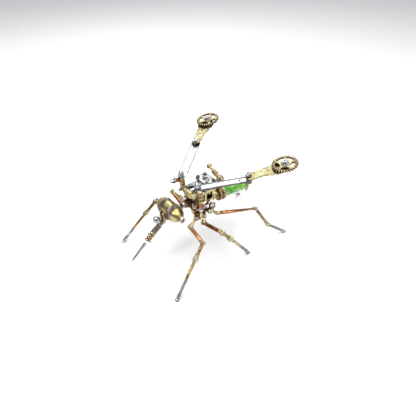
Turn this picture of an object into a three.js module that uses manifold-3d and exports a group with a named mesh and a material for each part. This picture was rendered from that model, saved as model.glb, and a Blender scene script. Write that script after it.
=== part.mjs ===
// Mechanical mosquito: a poseable metal insect kit built from turned and stamped pieces.
// Millimetres. +Z up, +Y towards the tail, the head faces -Y, +X is the insect's left.
import * as THREE from 'three';
import Module from 'manifold-3d';

const wasm = await Module();
wasm.setup();

// ---------------------------------------------------------------- driving dimensions
const GAP = 0.3;            // clearance between pieces that meet
const EAR_R = 2.2;          // hinge ear and eye outer radius
const EYE_T = 1.6;          // thickness of a hinge eye
const EAR_T = 0.9;          // thickness of each fork ear
const EAR_X = 1.55;         // ear centre offset from the hinge's middle plane
const PIN_R = 0.7;          // hinge pin radius
const HOLE_R = 1.0;         // hinge eye hole radius
const HEAD_R = 1.3;         // pin head radius
const FEMUR_R = 2.0;        // copper thigh tube
const TIBIA_R = 1.75;       // bronze shin tube
const TARSUS_R = 1.5;       // brass lower rod
const TIP_R = 1.6;          // threaded steel tip
const FOOT_R = 2.1;         // foot washer
const GEAR_R = 12.0;        // wing gear tip radius
const GEAR_TEETH = 32;
const GEAR_T = 2.0;
const STRIP_IN = 3.6;       // wing strip: from the pivot line to its two long edges
const STRIP_OUT = 5.2;
const STRIP_T = 1.0;
const DRUM_R = 8.0;         // head drum radius
const TUBE_R = 6.1;         // abdomen glass tube outer radius
const TUBE_WALL = 0.8;

const V = (x, y, z) => new THREE.Vector3(x, y, z);
const X = V(1, 0, 0), Y = V(0, 1, 0), Z = V(0, 0, 1);
const mx = (v) => V(-v.x, v.y, v.z);

// ---------------------------------------------------------------- pivots and ends, left side
const WING_ROOT = V(13.4, -17.8, 82.5);
const WING_ELBOW = V(41.3, 18.7, 92.4);   // strip end, on its middle plane
const BRACKET_A = V(41.3, 18.7, 95.0);    // bracket plate over the elbow
const BRACKET_B = V(57.0, 47.3, 102.6);   // bracket plate under the gear
const NECK_A = V(0, -25.2, 58.8);
const NECK_B = V(0, -30.9, 59.3);
const HEAD_C = V(0, -40.7, 60.0);
const PROB_P = V(0, -50.0, 49.6);
const PROB_MID = V(0, -63.5, 39.6);
const NEEDLE_A = V(0, -69.5, 34.2);
const NEEDLE_B = V(0, -85.5, 20.2);
const ABD_P = V(0, 10.6, 54.6);
const ABD_END = V(0, 57.2, 50.6);
const ROLLER_C = V(0, -19.6, 70.6);
const HIP_Z = 46;
const LEGS = {
  lf: { hip: V(12, -19.6, HIP_Z), k1: V(15, -28.6, 42), k2: V(36.5, -29.7, 38), an: V(40.8, -41.8, 27.0), ft: V(50.9, -70.1, 1.4), side: 1 },
  lm: { hip: V(13.8, -10.9, HIP_Z), k1: V(17.8, -14.6, 42.6), k2: V(42.3, -11.4, 44.7), an: V(42.1, -0.5, 31.6), ft: V(42.2, 23.4, 1.4), side: 1 },
  lh: { hip: V(11.5, -1.4, HIP_Z), k1: V(14.2, 4.9, 43.4), k2: V(23.5, 47.6, 35), an: V(33.6, 57.8, 15.2), ft: V(40.7, 77.0, 1.4), side: 1 },
  rf: { hip: V(-12, -19.6, HIP_Z), k1: V(-15, -28.6, 42), k2: V(-37, -35.3, 45.5), an: V(-41.2, -45.8, 32.3), ft: V(-50.8, -70.2, 1.4), side: -1 },
  rm: null,
  rh: { hip: V(-11.5, -1.4, HIP_Z), k1: V(-14.2, 4.9, 43.4), k2: V(-28.0, 43.5, 33.0), an: V(-36.4, 62.8, 16.2), ft: V(-43.6, 84.2, 1.4), side: -1 },
};
for (const [r, l] of [['rm', 'lm']]) {
  const s = LEGS[l];
  LEGS[r] = { hip: mx(s.hip), k1: mx(s.k1), k2: mx(s.k2), an: mx(s.an), ft: mx(s.ft), side: -1 };
}

// ---------------------------------------------------------------- solids
function solid(geo) {
  if (!geo.isBufferGeometry) return geo;
  const g = geo.index ? geo.toNonIndexed() : geo, p = g.attributes.position, cells = new Map(), pts = [], ix = [], tri = [];
  const cell = 1e-3, tol = 2e-4;
  // weld corners that lie together, looking into the neighbouring cells as well
  for (let i = 0; i < p.count; i++) {
    const x = p.getX(i), y = p.getY(i), z = p.getZ(i), c = [x, y, z].map((v) => Math.floor(v / cell));
    let hit = -1;
    for (let a = -1; a < 2 && hit < 0; a++) for (let b = -1; b < 2 && hit < 0; b++) for (let d = -1; d < 2 && hit < 0; d++) {
      for (const k of cells.get(`${c[0] + a},${c[1] + b},${c[2] + d}`) ?? []) {
        if (Math.hypot(pts[3 * k] - x, pts[3 * k + 1] - y, pts[3 * k + 2] - z) < tol) { hit = k; break; }
      }
    }
    if (hit < 0) {
      hit = pts.length / 3;
      pts.push(x, y, z);
      const key = c.join();
      cells.set(key, [...(cells.get(key) ?? []), hit]);
    }
    ix.push(hit);
  }
  let vol = 0;
  for (let i = 0; i < ix.length; i += 3) {
    const [a, b, c] = [ix[i], ix[i + 1], ix[i + 2]];
    if (a === b || b === c || c === a) continue;
    tri.push(a, b, c);
    vol += V(...pts.slice(3 * a, 3 * a + 3)).dot(V(...pts.slice(3 * b, 3 * b + 3)).cross(V(...pts.slice(3 * c, 3 * c + 3))));
  }
  if (vol < 0) for (let i = 0; i < tri.length; i += 3) [tri[i + 1], tri[i + 2]] = [tri[i + 2], tri[i + 1]];
  return new wasm.Manifold(new wasm.Mesh({ numProp: 3, vertProperties: new Float32Array(pts), triVerts: new Uint32Array(tri) }));
}
function join(...parts) {
  return parts.map((q) => (q.isBufferGeometry ? solid(q) : q)).reduce((a, b) => a.add(b));
}
function cut(a, ...tools) {
  let r = a.isBufferGeometry ? solid(a) : a;
  for (const t of tools) r = r.subtract(t.isBufferGeometry ? solid(t) : t);
  return r;
}
function geometry(m) {
  const s = m.isBufferGeometry ? solid(m) : m, g = new THREE.BufferGeometry(), msh = s.getMesh();
  const n = msh.numProp, vp = msh.vertProperties, pos = new Float32Array((vp.length / n) * 3);
  for (let i = 0, j = 0; i < vp.length; i += n) { pos[j++] = vp[i]; pos[j++] = vp[i + 1]; pos[j++] = vp[i + 2]; }
  g.setAttribute('position', new THREE.BufferAttribute(pos, 3));
  g.setIndex(new THREE.BufferAttribute(new Uint32Array(msh.triVerts), 1));
  g.computeVertexNormals();
  return g;
}
const unit = (v) => v.clone().normalize();
const perp = (a, d) => unit(a.clone().addScaledVector(d, -a.dot(d)));
// local Z along zd, local X as near xd as it can be, at o
function pose(o, zd, xd = X) {
  const z = unit(zd);
  let x = xd.clone().addScaledVector(z, -xd.dot(z));
  if (x.length() < 1e-3) x = Y.clone().addScaledVector(z, -z.y);
  x.normalize();
  const y = z.clone().cross(x);
  return new THREE.Matrix4().makeBasis(x, y, z).setPosition(o);
}
const at = (g, o, zd = Z, xd = X) => (g.isBufferGeometry ? g.clone().applyMatrix4(pose(o, zd, xd)) : g.transform(pose(o, zd, xd).toArray()));
// cylinder along local Z from z0 to z1
function cyl(r0, r1, z0, z1, seg = 12) {
  return new THREE.CylinderGeometry(r1, r0, z1 - z0, seg).rotateX(Math.PI / 2).translate(0, 0, (z0 + z1) / 2);
}
function disc(o, axis, r, t, seg = 12) { return at(cyl(r, r, -t / 2, t / 2, seg), o, axis); }
function rod(p, q, r0, r1 = r0, seg = 12) {
  const d = q.clone().sub(p);
  return at(cyl(r0, r1, 0, d.length(), seg), p, d);
}
function box(w, d, h, o = V(0, 0, 0)) { return new THREE.BoxGeometry(w, d, h).translate(o.x, o.y, o.z); }
function span(x0, x1, y0, y1, z0, z1) { return box(x1 - x0, y1 - y0, z1 - z0, V((x0 + x1) / 2, (y0 + y1) / 2, (z0 + z1) / 2)); }
// profile [[r, z], ...] turned round local Z
function turned(pr, seg = 16) {
  return new THREE.LatheGeometry(pr.map(([r, z]) => new THREE.Vector2(Math.max(r, 0), z)), seg).rotateX(Math.PI / 2);
}
function ball(o, r, w = 12, h = 8) { return new THREE.SphereGeometry(r, w, h).rotateX(Math.PI / 2).translate(o.x, o.y, o.z); }
function outline(pts) { const s = new THREE.Shape(); pts.forEach(([x, y], i) => (i ? s.lineTo(x, y) : s.moveTo(x, y))); s.closePath(); return s; }
function slab(pts, z0, z1) { return new THREE.ExtrudeGeometry(outline(pts), { depth: z1 - z0, bevelEnabled: false, curveSegments: 6 }).translate(0, 0, z0); }
function plate(pts, z0, z1, holes = []) { return cut(slab(pts, z0, z1), ...holes.map((h) => slab(h, z0 - 1, z1 + 1))); }
function ring2(cx, cy, r, n = 12, a0 = 0) { return Array.from({ length: n }, (_, i) => [cx + r * Math.cos(a0 + (i / n) * 2 * Math.PI), cy + r * Math.sin(a0 + (i / n) * 2 * Math.PI)]); }

// ---------------------------------------------------------------- scene graph
const MAT = {
  brass: [0xc9a54c, 0.32, 0.95], copper: [0xb5643c, 0.34, 0.95], bronze: [0x8a6236, 0.38, 0.95], red: [0x8c2f22, 0.36, 0.9],
  steel: [0xd3d6dc, 0.14, 1.0], grey: [0x7d7f84, 0.35, 0.9], dark: [0x4a3a30, 0.42, 0.85], black: [0x17171a, 0.5, 0.2],
  glass: [0xe9f6ee, 0.05, 0.0], green: [0x37b52b, 0.2, 0.0], olive: [0x9a8646, 0.36, 0.9],
};
const mosquito = new THREE.Group();
export const bodies = {}, joints = [], nodeMaterial = {};
function add(body, name, m, mat) {
  const [color, roughness, metalness] = MAT[mat];
  const mesh = new THREE.Mesh(geometry(m), new THREE.MeshStandardMaterial({ color, roughness, metalness, flatShading: true }));
  mesh.name = name;
  mosquito.add(mesh);
  (bodies[body] ??= []).push(name);
  nodeMaterial[name] = mat;
}
function hinge(name, parent, child, pos, axis, range) { joints.push({ name, parent, child, pos, axis: unit(axis), range }); }

// ---------------------------------------------------------------- hinge ends
const YZ = new THREE.Matrix4().makeBasis(Y, Z, X);
// outline with a round end of radius EAR_R about the origin and a straight shank to z = len
function shank(len, half, dir) {
  const pts = [];
  for (let i = 0; i <= 5; i++) { const a = (i / 5) * Math.PI; pts.push([EAR_R * Math.cos(a), -dir * EAR_R * Math.sin(a)]); }
  pts.push([-half, dir * len], [half, dir * len]);
  return pts;
}
// eye at local z = 0, hinge axis along local X
function eye() {
  return cut(slab(shank(3.2, 1.3, 1), -EYE_T / 2, EYE_T / 2), slab(ring2(0, 0, HOLE_R + 0.08, 6), -2, 2)).transform(YZ.toArray());
}
// fork at local z = 0 opening towards +Z, with its pin
function fork() {
  const parts = [box(4.0, 3.0, 0.8, V(0, 0, -2.9))];
  for (const s of [-1, 1]) {
    parts.push(slab(shank(3.2, 1.4, -1), s * EAR_X - EAR_T / 2, s * EAR_X + EAR_T / 2).applyMatrix4(YZ));
  }
  parts.push(at(cyl(PIN_R, PIN_R, -1.5, 1.5, 6), V(0, 0, 0), X, Y));
  return join(...parts);
}
function link(p, q, hp, hq, tube, ends = 'ef') {
  const d = q.clone().sub(p), L = d.length(), u = unit(d), parts = [];
  parts.push(at(tube(2.9, ends[1] === 'f' ? L - 2.9 : L), p, u, hp));
  if (ends[0] === 'e') parts.push(eye().transform(pose(p, u, hp).toArray()));
  if (ends[1] === 'f') parts.push(fork().transform(pose(q, u, hq).toArray()));
  return join(...parts);
}

// ---------------------------------------------------------------- legs
const ribbed = (r, n, depth) => (z0, z1) => {
  const pr = [[0, z0], [r, z0]];
  for (let i = 1; i < n; i++) { const a = z0 + ((z1 - z0) * i) / n; pr.push([r, a - 0.5], [r - depth, a - 0.4], [r - depth, a + 0.4], [r, a + 0.5]); }
  pr.push([r, z1], [0, z1]);
  return turned(pr, 8);
};
const taper = (r0, r1) => (z0, z1) => turned([[0, z0], [r0 * 0.8, z0], [r0, z0 + 1.2], [r0 * 0.94, z0 + (z1 - z0) * 0.35], [r1, z1], [0, z1]], 10);
for (const [key, g] of Object.entries(LEGS)) {
  const u = (a, b) => unit(b.clone().sub(a));
  const flat = g.k1.clone().sub(g.hip).setZ(0).normalize();
  const root = g.hip.clone().addScaledVector(flat, 2.9).setZ(HIP_Z - 0.45);
  const dc = u(root, g.k1), df = u(g.k1, g.k2), dt = u(g.k2, g.an), ds = u(g.an, g.ft);
  const h1 = unit(dc.clone().cross(df)), h2 = unit(df.clone().cross(dt));
  let h3 = dt.clone().cross(ds);
  h3 = h3.length() < 0.08 ? perp(h2, dt) : unit(h3);
  const h3t = perp(h3, dt), h3s = perp(h3, ds);
  const up = g.side > 0 ? Z : Z.clone().negate();
  // coxa: flat eye under the hip plate, short tube, fork
  const Lc = g.k1.distanceTo(root);
  add('coxa_' + key, 'coxa_' + key, join(
    eye().transform(pose(g.hip, flat, Z).toArray()),
    ball(root, 1.2, 8, 6),
    rod(root, root.clone().addScaledVector(dc, Math.max(Lc - 2.8, 0.6)), 1.15, 1.3, 8),
    fork().transform(pose(g.k1, dc, h1).toArray())), 'brass');
  const rear = key[1] === 'h';
  add('femur_' + key, 'femur_' + key, link(g.k1, g.k2, h1, h2, rear ? taper(1.9, 1.15) : ribbed(FEMUR_R, 1, 0.3)), 'copper');
  add('tibia_' + key, 'tibia_' + key, link(g.k2, g.an, h2, h3t, (z0, z1) => turned([[0, z0], [TIBIA_R, z0], [TIBIA_R, z1 - 1.6], [TIBIA_R + 0.45, z1 - 1.5], [TIBIA_R + 0.45, z1], [0, z1]], 8)), 'bronze');
  const Ls = g.ft.distanceTo(g.an);
  const tip = Ls * 0.56;
  const shin = turned([[0, 2.9], [TARSUS_R, 2.9], [TARSUS_R, tip], [TIP_R, tip + 0.1], [TIP_R, Ls - 2.2], [1.1, Ls - 2.0], [1.1, Ls], [0, Ls]], 8);
  add('tarsus_' + key, 'tarsus_' + key, join(
    eye().transform(pose(g.an, ds, h3s).toArray()), at(shin, g.an, ds, h3s),
    at(turned([[0, -1.4], [FOOT_R * 0.72, -1.4], [FOOT_R, -1.0], [FOOT_R, -0.1], [FOOT_R * 0.6, 0.5], [0, 1.1]], 10), g.ft)), 'olive');
  hinge('hip_' + key, 'thorax', 'coxa_' + key, g.hip, up, [-12, 14]);
  hinge('knee_' + key, 'coxa_' + key, 'femur_' + key, g.k1, h1, [-18, 12]);
  hinge('shin_' + key, 'femur_' + key, 'tibia_' + key, g.k2, h2, [-30, 12]);
  hinge('ankle_' + key, 'tibia_' + key, 'tarsus_' + key, g.an, h3, [-25, 25]);
}

// ---------------------------------------------------------------- thorax
// hip plate: flat brass plate with six hip pins hanging under it
const hipPins = Object.values(LEGS).map((g) => g.hip);
const hipTop = HIP_Z + EYE_T / 2 + GAP;
{
  const arms = hipPins.map((h) => { const o = V(0, -7.6, 0), d = V(h.x, h.y, 0).sub(o), L = d.length(); return slab([[3, -2.2], [L + 1, -2.2], [L + 2.2, -1.1], [L + 2.2, 1.1], [L + 1, 2.2], [3, 2.2]], hipTop, hipTop + 1.3).applyMatrix4(pose(o, Z, d)); });
  const parts = [cut(join(slab(ring2(0, -7.6, 8.4, 16), hipTop, hipTop + 1.3), ...arms), slab(ring2(0, -7.6, 1.75), 40, 60))];
  for (const h of hipPins) {
    parts.push(solid(rod(V(h.x, h.y, hipTop + 0.5), V(h.x, h.y, HIP_Z - 1.9), PIN_R, PIN_R, 6)), solid(disc(V(h.x, h.y, HIP_Z - 1.5), Z, 1.6, 0.8, 6)));
  }
  // hex posts: the front pair stands under the wing mounts, the rear pair carries cap nuts
  for (const s of [-1, 1]) {
    parts.push(solid(rod(V(s * 12.6, -14.0, hipTop), V(s * 12.6, -14.0, 64.9), 1.9, 1.9, 6)), solid(rod(V(s * 12.6, -14.0, 54.6), V(s * 12.6, -14.0, 57.0), 2.7, 2.7, 6)));
    parts.push(solid(rod(V(s * 11.0, -0.4, hipTop + 0.2), V(s * 11.0, -0.4, 53.2), 3.1, 3.1, 6)), solid(at(turned([[0, 53], [2.3, 53], [2.3, 56.2], [1.7, 57.6], [0, 58.2]], 8), V(s * 11.0, -0.4, 0))));
  }
  add('thorax', 'hip_plate', join(...parts), 'brass');
}
const cowlZ0 = hipTop + 1.3 + GAP, cageZ0 = 57.6;
add('thorax', 'thorax_cowl', at(turned([[1.9, cowlZ0], [6.9, cowlZ0], [7.6, cowlZ0 + 1.2], [7.6, cowlZ0 + 2.6], [8.6, cowlZ0 + 3.4], [8.6, cowlZ0 + 4.8], [9.6, cowlZ0 + 5.8], [9.6, cageZ0 - GAP], [8.4, cageZ0 - GAP], [6.4, cowlZ0 + 1.4], [1.9, cowlZ0 + 1.4], [1.9, cowlZ0]], 18), V(0, -7.6, 0)), 'red');
{
  // open-topped brass cage with windows in its walls
  let c = solid(span(-8.6, 8.6, -16.5, 6.5, cageZ0, 70.4));
  c = cut(c, span(-7.3, 7.3, -15.2, 5.2, cageZ0 + 1.3, 80), span(-5.2, 5.2, -20, -14, 60.2, 66.5), span(-20, 20, -12.6, -6.4, 60, 67), span(-20, 20, -4.2, 2.6, 60, 67),
    rod(V(0, -7.6, 50), V(0, -7.6, 66), 1.75, 1.75, 12));
  // ears that carry the roller
  for (const s of [-1, 1]) {
    c = join(c, cut(join(at(cyl(2.6, 2.6, -0.65, 0.65), V(s * 7.95, ROLLER_C.y, ROLLER_C.z), X, Y), span(s > 0 ? 7.3 : -8.6, s > 0 ? 8.6 : -7.3, -19.4, -15.5, 66.6, 70.4))));
  }
  c = join(c, rod(V(-8, ROLLER_C.y, ROLLER_C.z), V(8, ROLLER_C.y, ROLLER_C.z), 0.8, 0.8, 8));
  add('thorax', 'thorax_cage', c, 'brass');
}
{
  // knurled roller across the top front edge
  const n = 18, pts = [];
  for (let i = 0; i < n; i++) for (const [k, r] of [[0, 2.45], [0.3, 3.0], [0.7, 3.0]]) { const a = ((i + k) / n) * 2 * Math.PI; pts.push([r * Math.cos(a), r * Math.sin(a)]); }
  add('roller', 'knurled_roller', at(plate(pts, -6.9, 6.9, [ring2(0, 0, 1.1, 10)]), ROLLER_C, X, Y), 'brass');
  hinge('roller_spin', 'thorax', 'roller', ROLLER_C, X, 'continuous');
}
add('thorax', 'thorax_funnel', at(cut(solid(turned([[0, 35.2], [2.4, 35.2], [3.1, 36.2], [3.1, 37.8], [4.9, 38.6], [4.9, 40.2], [6.3, 41.0], [6.3, 42.6], [7.6, 43.6], [7.6, 46.8], [0, 46.8]], 16)),
  turned([[0, 44.4], [5.2, 44.4], [5.2, 47], [0, 47]], 14), turned([[0, 30], [1.75, 30], [1.75, 48], [0, 48]], 10)), V(0, -7.6, 0)), 'red');
add('thorax', 'centre_bolt', at(turned([[0, 32.6], [2.3, 32.6], [2.6, 33.2], [2.6, 34.9], [1.4, 34.9], [1.4, 63.4], [0, 63.4]], 10), V(0, -7.6, 0)), 'steel');
add('thorax', 'bolt_nut', cut(at(cyl(3.2, 3.2, cageZ0 + 1.6, cageZ0 + 4.2, 6), V(0, -7.6, 0)), at(cyl(1.7, 1.7, 40, 70, 12), V(0, -7.6, 0))), 'steel');
{
  // front plate with the ball socket for the neck
  const u = unit(NECK_A.clone().sub(V(0, -16, 58.4)));
  let f = join(span(-7.4, 7.4, -18.1, -16.8, 57.7, 66.2), rod(V(0, -17.6, NECK_A.z), V(0, -24.6, NECK_A.z), 3.9, 3.9, 14));
  f = cut(f, ball(NECK_A, 3.4, 12, 8));
  add('thorax', 'front_plate', f, 'dark');
}
{
  // polished cover, cut away over the front left of the cage
  const pts = [[-10, -24], [-6.4, -24], [-6.4, -14.2], [-3.4, -6.6], [9.6, -6.6], [9.6, 7.4], [-10, 7.4]];
  const t = join(plate(pts, 70.7, 71.9), span(-10, -9.0, -24, 7.4, 68.5, 71.9));
  add('thorax', 'top_cover', cut(t, at(cyl(3.4, 3.4, -8.9, 30), ROLLER_C, X, Y)), 'steel');
}
{
  // rear deck on four posts
  const parts = [solid(plate([[-7, -6], [8.6, -6], [10.4, -4], [10.4, 5.2], [8.6, 7], [-7, 7], [-8.6, 5.4], [-8.6, -4.4]], 77.2, 78.5, [ring2(0.8, 0.6, 2.4, 10)]))];
  for (const [x, y] of [[-6.2, -3.6], [7.8, -3.6], [-6.2, 4.6], [7.8, 4.6]]) parts.push(solid(rod(V(x, y, 72.2), V(x, y, 77.6), 1.4, 1.4, 6)), solid(rod(V(x, y, 78.2), V(x, y, 79.9), 1.7, 1.5, 6)));
  add('thorax', 'rear_deck', join(...parts), 'steel');
}
// ---------------------------------------------------------------- wings
const stripDir = unit(WING_ELBOW.clone().sub(WING_ROOT));
const brkDir = unit(BRACKET_B.clone().sub(BRACKET_A));
const stripN = perp(Z, stripDir);
const brkN0 = perp(Z, brkDir);
const roll = THREE.MathUtils.degToRad(6);
const brkN = unit(brkN0.clone().multiplyScalar(Math.cos(roll)).addScaledVector(unit(brkDir.clone().cross(brkN0)), Math.sin(roll)));
for (const [side, s] of [['left', 1], ['right', -1]]) {
  const m = (v) => (s > 0 ? v.clone() : mx(v));
  const W = m(WING_ROOT), J = m(WING_ELBOW), n1 = m(stripN), n2 = m(brkN), d1 = m(stripDir), d2 = m(brkDir);
  const up = (p, n, k) => p.clone().addScaledVector(n, k);
  const G = up(m(BRACKET_B), n2, 2.4);
  // copper column, arm to the cage and forward stub with a hex nut
  const foot = up(W, n1, -16.5);
  const stubA = up(W, n1, -6.5), stubB = V(s * 15.7, -28.4, 79.4);
  add('thorax', 'wing_mount_' + side, join(
    rod(foot, up(W, n1, -4.2), 2.8, 2.8, 10), rod(up(W, n1, -4.4), up(W, n1, -1.0), 3.5, 3.5, 6), rod(up(W, n1, -1.2), up(W, n1, 3.2), 1.2, 1.2, 8),
    span(s > 0 ? 8.9 : -18.4, s > 0 ? 18.4 : -8.9, -15.9, -11.5, 65.2, 68.0), 
    rod(stubA, stubB, 2.0, 2.0, 8), rod(stubA.clone().lerp(stubB, 0.7), stubB, 3.0, 3.0, 6)), 'copper');
  add('thorax', 'wing_nut_' + side, cut(at(turned([[0, 1.0], [3.1, 1.0], [3.1, 2.4], [2.9, 3.6], [1.9, 4.9], [0, 5.5]], 12), W, n1), at(cyl(1.5, 1.5, -1, 3.5, 12), W, n1)), 'steel');
  // strip, local x along the wing
  // strips and brackets are the same stamped part on both sides, so their outlines aren't mirrored
  const Ls = J.distanceTo(W), a = STRIP_IN, b = -STRIP_OUT;
  const sp = [[-3.2, -2.6], [-1.6, b + 0.6], [1.5, b], [Ls + 1.6, b], [Ls + 3.4, b + 1.8], [Ls + 3.4, a - 1.4], [Ls + 2, a], [-2.0, a], [-3.2, 2.4]];
    add('strip_' + side, 'wing_strip_' + side, join(
    at(plate(sp, -STRIP_T / 2, STRIP_T / 2, [ring2(0, 0, 1.5, 10)]), W, n1, d1),
    rod(up(J, n1, -4.6), up(J, n1, 4.4), 1.1, 1.1, 8), rod(up(J, n1, -5.0), up(J, n1, -2.8), 2.2, 2.2, 6), rod(up(J, n1, 0), up(J, n1, 1.4), 2.4, 2.4, 10),
    rod(up(J, n1, 3.8), up(J, n1, 6.2), 2.4, 2.4, 10)), 'steel');
  // bracket: local x from the elbow to the gear centre. Its plane follows n2, the elbow boss follows n1.
  const Jb = up(m(BRACKET_A), n2, -0.65);
  const Gb = up(m(BRACKET_B), n2, -0.65);
  const db = unit(Gb.clone().sub(Jb)), nb = perp(n2, db), Lb = Gb.distanceTo(Jb);
  const bp = [[-3.4, -1.6], [-2.6, -3.6], [-0.6, -5.4], [2.5, -6.2], [7, -5.7], [12, -5.0], [16, -5.5], [19.5, -7.4], [21.2, -7.3], [22.4, -6.4], [24.4, -8.2], [29, -8.0], [Lb + 1, -5.4], [Lb + 3.4, -2.6],
    [Lb + 3.4, 2.6], [Lb + 1, 5.4], [29, 8.0], [24.4, 8.0], [20, 5.4], [12, 4.3], [4, 3.9], [-1.2, 3.4], [-3.0, 1.8]];
  const dhole = [[8.2, -2.4], [10.6, -2.6], [12.4, -1.6], [12.8, -0.2], [12.0, 1.3], [9.6, 1.7]];
  const nubs = [[16.8, 3.9], [19.9, -6.1], [2.4, -4.7]].map(([x, y]) => at(cyl(0.9, 0.9, 0.2, 1.5, 6).translate(x, y, 0), Jb, nb, db));
  add('bracket_' + side, 'wing_bracket_' + side, cut(join(at(plate(bp, 0, 1.3, [dhole, ring2(17.2, -0.4, 0.9, 6)]), Jb, nb, db), ...nubs,
    rod(up(G, n2, -4.6), up(G, n2, 2.4), 1.1, 1.1, 8), rod(up(G, n2, -5.2), up(G, n2, -3.4), 2.2, 2.2, 6), rod(up(G, n2, 2.3), up(G, n2, 4.4), 2.4, 2.4, 12)),
    rod(up(J, n1, 0), up(J, n1, 6), 1.5, 1.5, 10)), 'brass');
  // gear with five curved windows and a hub
  const pts = [];
  for (let i = 0; i < GEAR_TEETH; i++) for (const [k, r] of [[0, GEAR_R - 1.35], [0.34, GEAR_R], [0.66, GEAR_R]]) { const a = ((i + k) / GEAR_TEETH) * 2 * Math.PI; pts.push([r * Math.cos(a), r * Math.sin(a)]); }
  const wins = [];
  for (let i = 0; i < 5; i++) {
    const a0 = ((i + 0.5) / 5) * 2 * Math.PI, w = [];
    for (const t of [-0.45, -0.15, 0.15, 0.45]) w.push([9.1 * Math.cos(a0 + t), 9.1 * Math.sin(a0 + t)]);
    for (const t of [0.27, -0.27]) w.push([4.9 * Math.cos(a0 + t), 4.9 * Math.sin(a0 + t)]);
    wins.push(w);
  }
  const GT = GEAR_T / 2;
  add('gear_' + side, 'wing_gear_' + side, cut(join(at(plate(pts, -GT, GT, wins), G, n2), at(cyl(3.6, 3.4, -1.4, 1.7, 10), G, n2)), at(cyl(1.5, 1.5, -3, 3, 8), G, n2)), 'brass');
  hinge('wing_swivel_' + side, 'thorax', 'strip_' + side, W, s > 0 ? n1 : n1.clone().negate(), [-12, 18]);
  hinge('wing_elbow_' + side, 'strip_' + side, 'bracket_' + side, J, s > 0 ? n1 : n1.clone().negate(), [-20, 20]);
  hinge('wing_gear_spin_' + side, 'bracket_' + side, 'gear_' + side, G, s > 0 ? n2 : n2.clone().negate(), 'continuous');
}

// ---------------------------------------------------------------- dorsal arm and abdomen bracket
{
  const A = V(0, 19.5, 70.5), B = V(0, 10.4, 83.0), C = V(0, 5.6, 90.4);
  add('thorax', 'dorsal_arm', join(cut(join(disc(A, X, 3.6, 3.2, 14), rod(V(0, 17.4, 72.9), B, 2.0, 2.0, 10)), disc(A, X, 1.7, 6, 10)), rod(V(0, 14.4, 77.6), V(0, 10.6, 82.7), 3.0, 3.0, 6),
    rod(B, C, 1.2, 1.2, 10), ball(C, 2.6, 10, 6)), 'brass');
}
{
  // steel bracket behind the cage: carries the dorsal arm's ring and the abdomen hinge
  const ears = [-1, 1].flatMap((s) => [at(cyl(2.6, 2.6, -EAR_T / 2, EAR_T / 2), V(s * EAR_X, ABD_P.y, ABD_P.z), X, Y), span(s > 0 ? EAR_X - EAR_T / 2 : -EAR_X - EAR_T / 2, s > 0 ? EAR_X + EAR_T / 2 : -EAR_X + EAR_T / 2, 7.0, ABD_P.y, ABD_P.z - 2.2, ABD_P.z + 2.2),
    span(s > 0 ? 1.9 : -3.2, s > 0 ? 3.2 : -1.9, 7.0, 19.6, 66.6, 68.8), at(cyl(2.9, 2.9, -0.65, 0.65), V(s * 2.55, 19.5, 70.5), X, Y), at(cyl(HEAD_R, HEAD_R, -0.3, 0.3, 6), V(s * 2.2, ABD_P.y, ABD_P.z), X, Y)]);
  add('thorax', 'rear_bracket', join(span(-5.4, 5.4, 6.8, 8.0, 51.6, 70.3), rod(V(-2.5, 19.5, 70.5), V(2.5, 19.5, 70.5), 1.4, 1.4, 10), ...ears, rod(V(-2.1, ABD_P.y, ABD_P.z), V(2.1, ABD_P.y, ABD_P.z), PIN_R, PIN_R, 8)), 'steel');
}
// ---------------------------------------------------------------- abdomen
{
  const d = unit(ABD_END.clone().sub(ABD_P)), L = ABD_END.distanceTo(ABD_P);
  const ri = TUBE_R - TUBE_WALL;
  const cap = [[0, 2.9], [3.4, 2.9], [4.2, 3.6], [6.0, 4.2], [7.2, 4.8], [7.2, 5.6], [6.9, 5.8], [6.9, 8.8], [7.2, 9.0], [7.2, 10.4], [TUBE_R + GAP, 10.4], [TUBE_R + GAP, 6.2], [ri - GAP, 6.2], [ri - GAP, 9.4], [0, 9.4]];
  add('abdomen', 'abdomen_cap', join(at(turned(cap, 14), ABD_P, d), eye().transform(pose(ABD_P, d, X).toArray())), 'copper');
  const arc = (r, c, n, rev) => { const o = []; for (let i = 0; i <= n; i++) { const a = (i / n) * (Math.PI / 2); o.push([r * Math.cos(a), c + r * Math.sin(a)]); } o[n][0] = 0; return rev ? o.reverse() : o; };
  const c = L - TUBE_R;
  add('abdomen', 'abdomen_tube', at(turned([[ri, 6.5], [TUBE_R, 6.5], ...arc(TUBE_R, c, 5), ...arc(ri, c, 5, true), [ri, 6.5]], 16), ABD_P, d), 'glass');
  add('abdomen', 'abdomen_liquid', at(turned([[0, 9.7], [ri - GAP, 9.7], ...arc(ri - GAP, c, 4)], 12), ABD_P, d), 'green');
  hinge('abdomen_tilt', 'thorax', 'abdomen', ABD_P, X, [-8, 10]);
}

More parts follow.
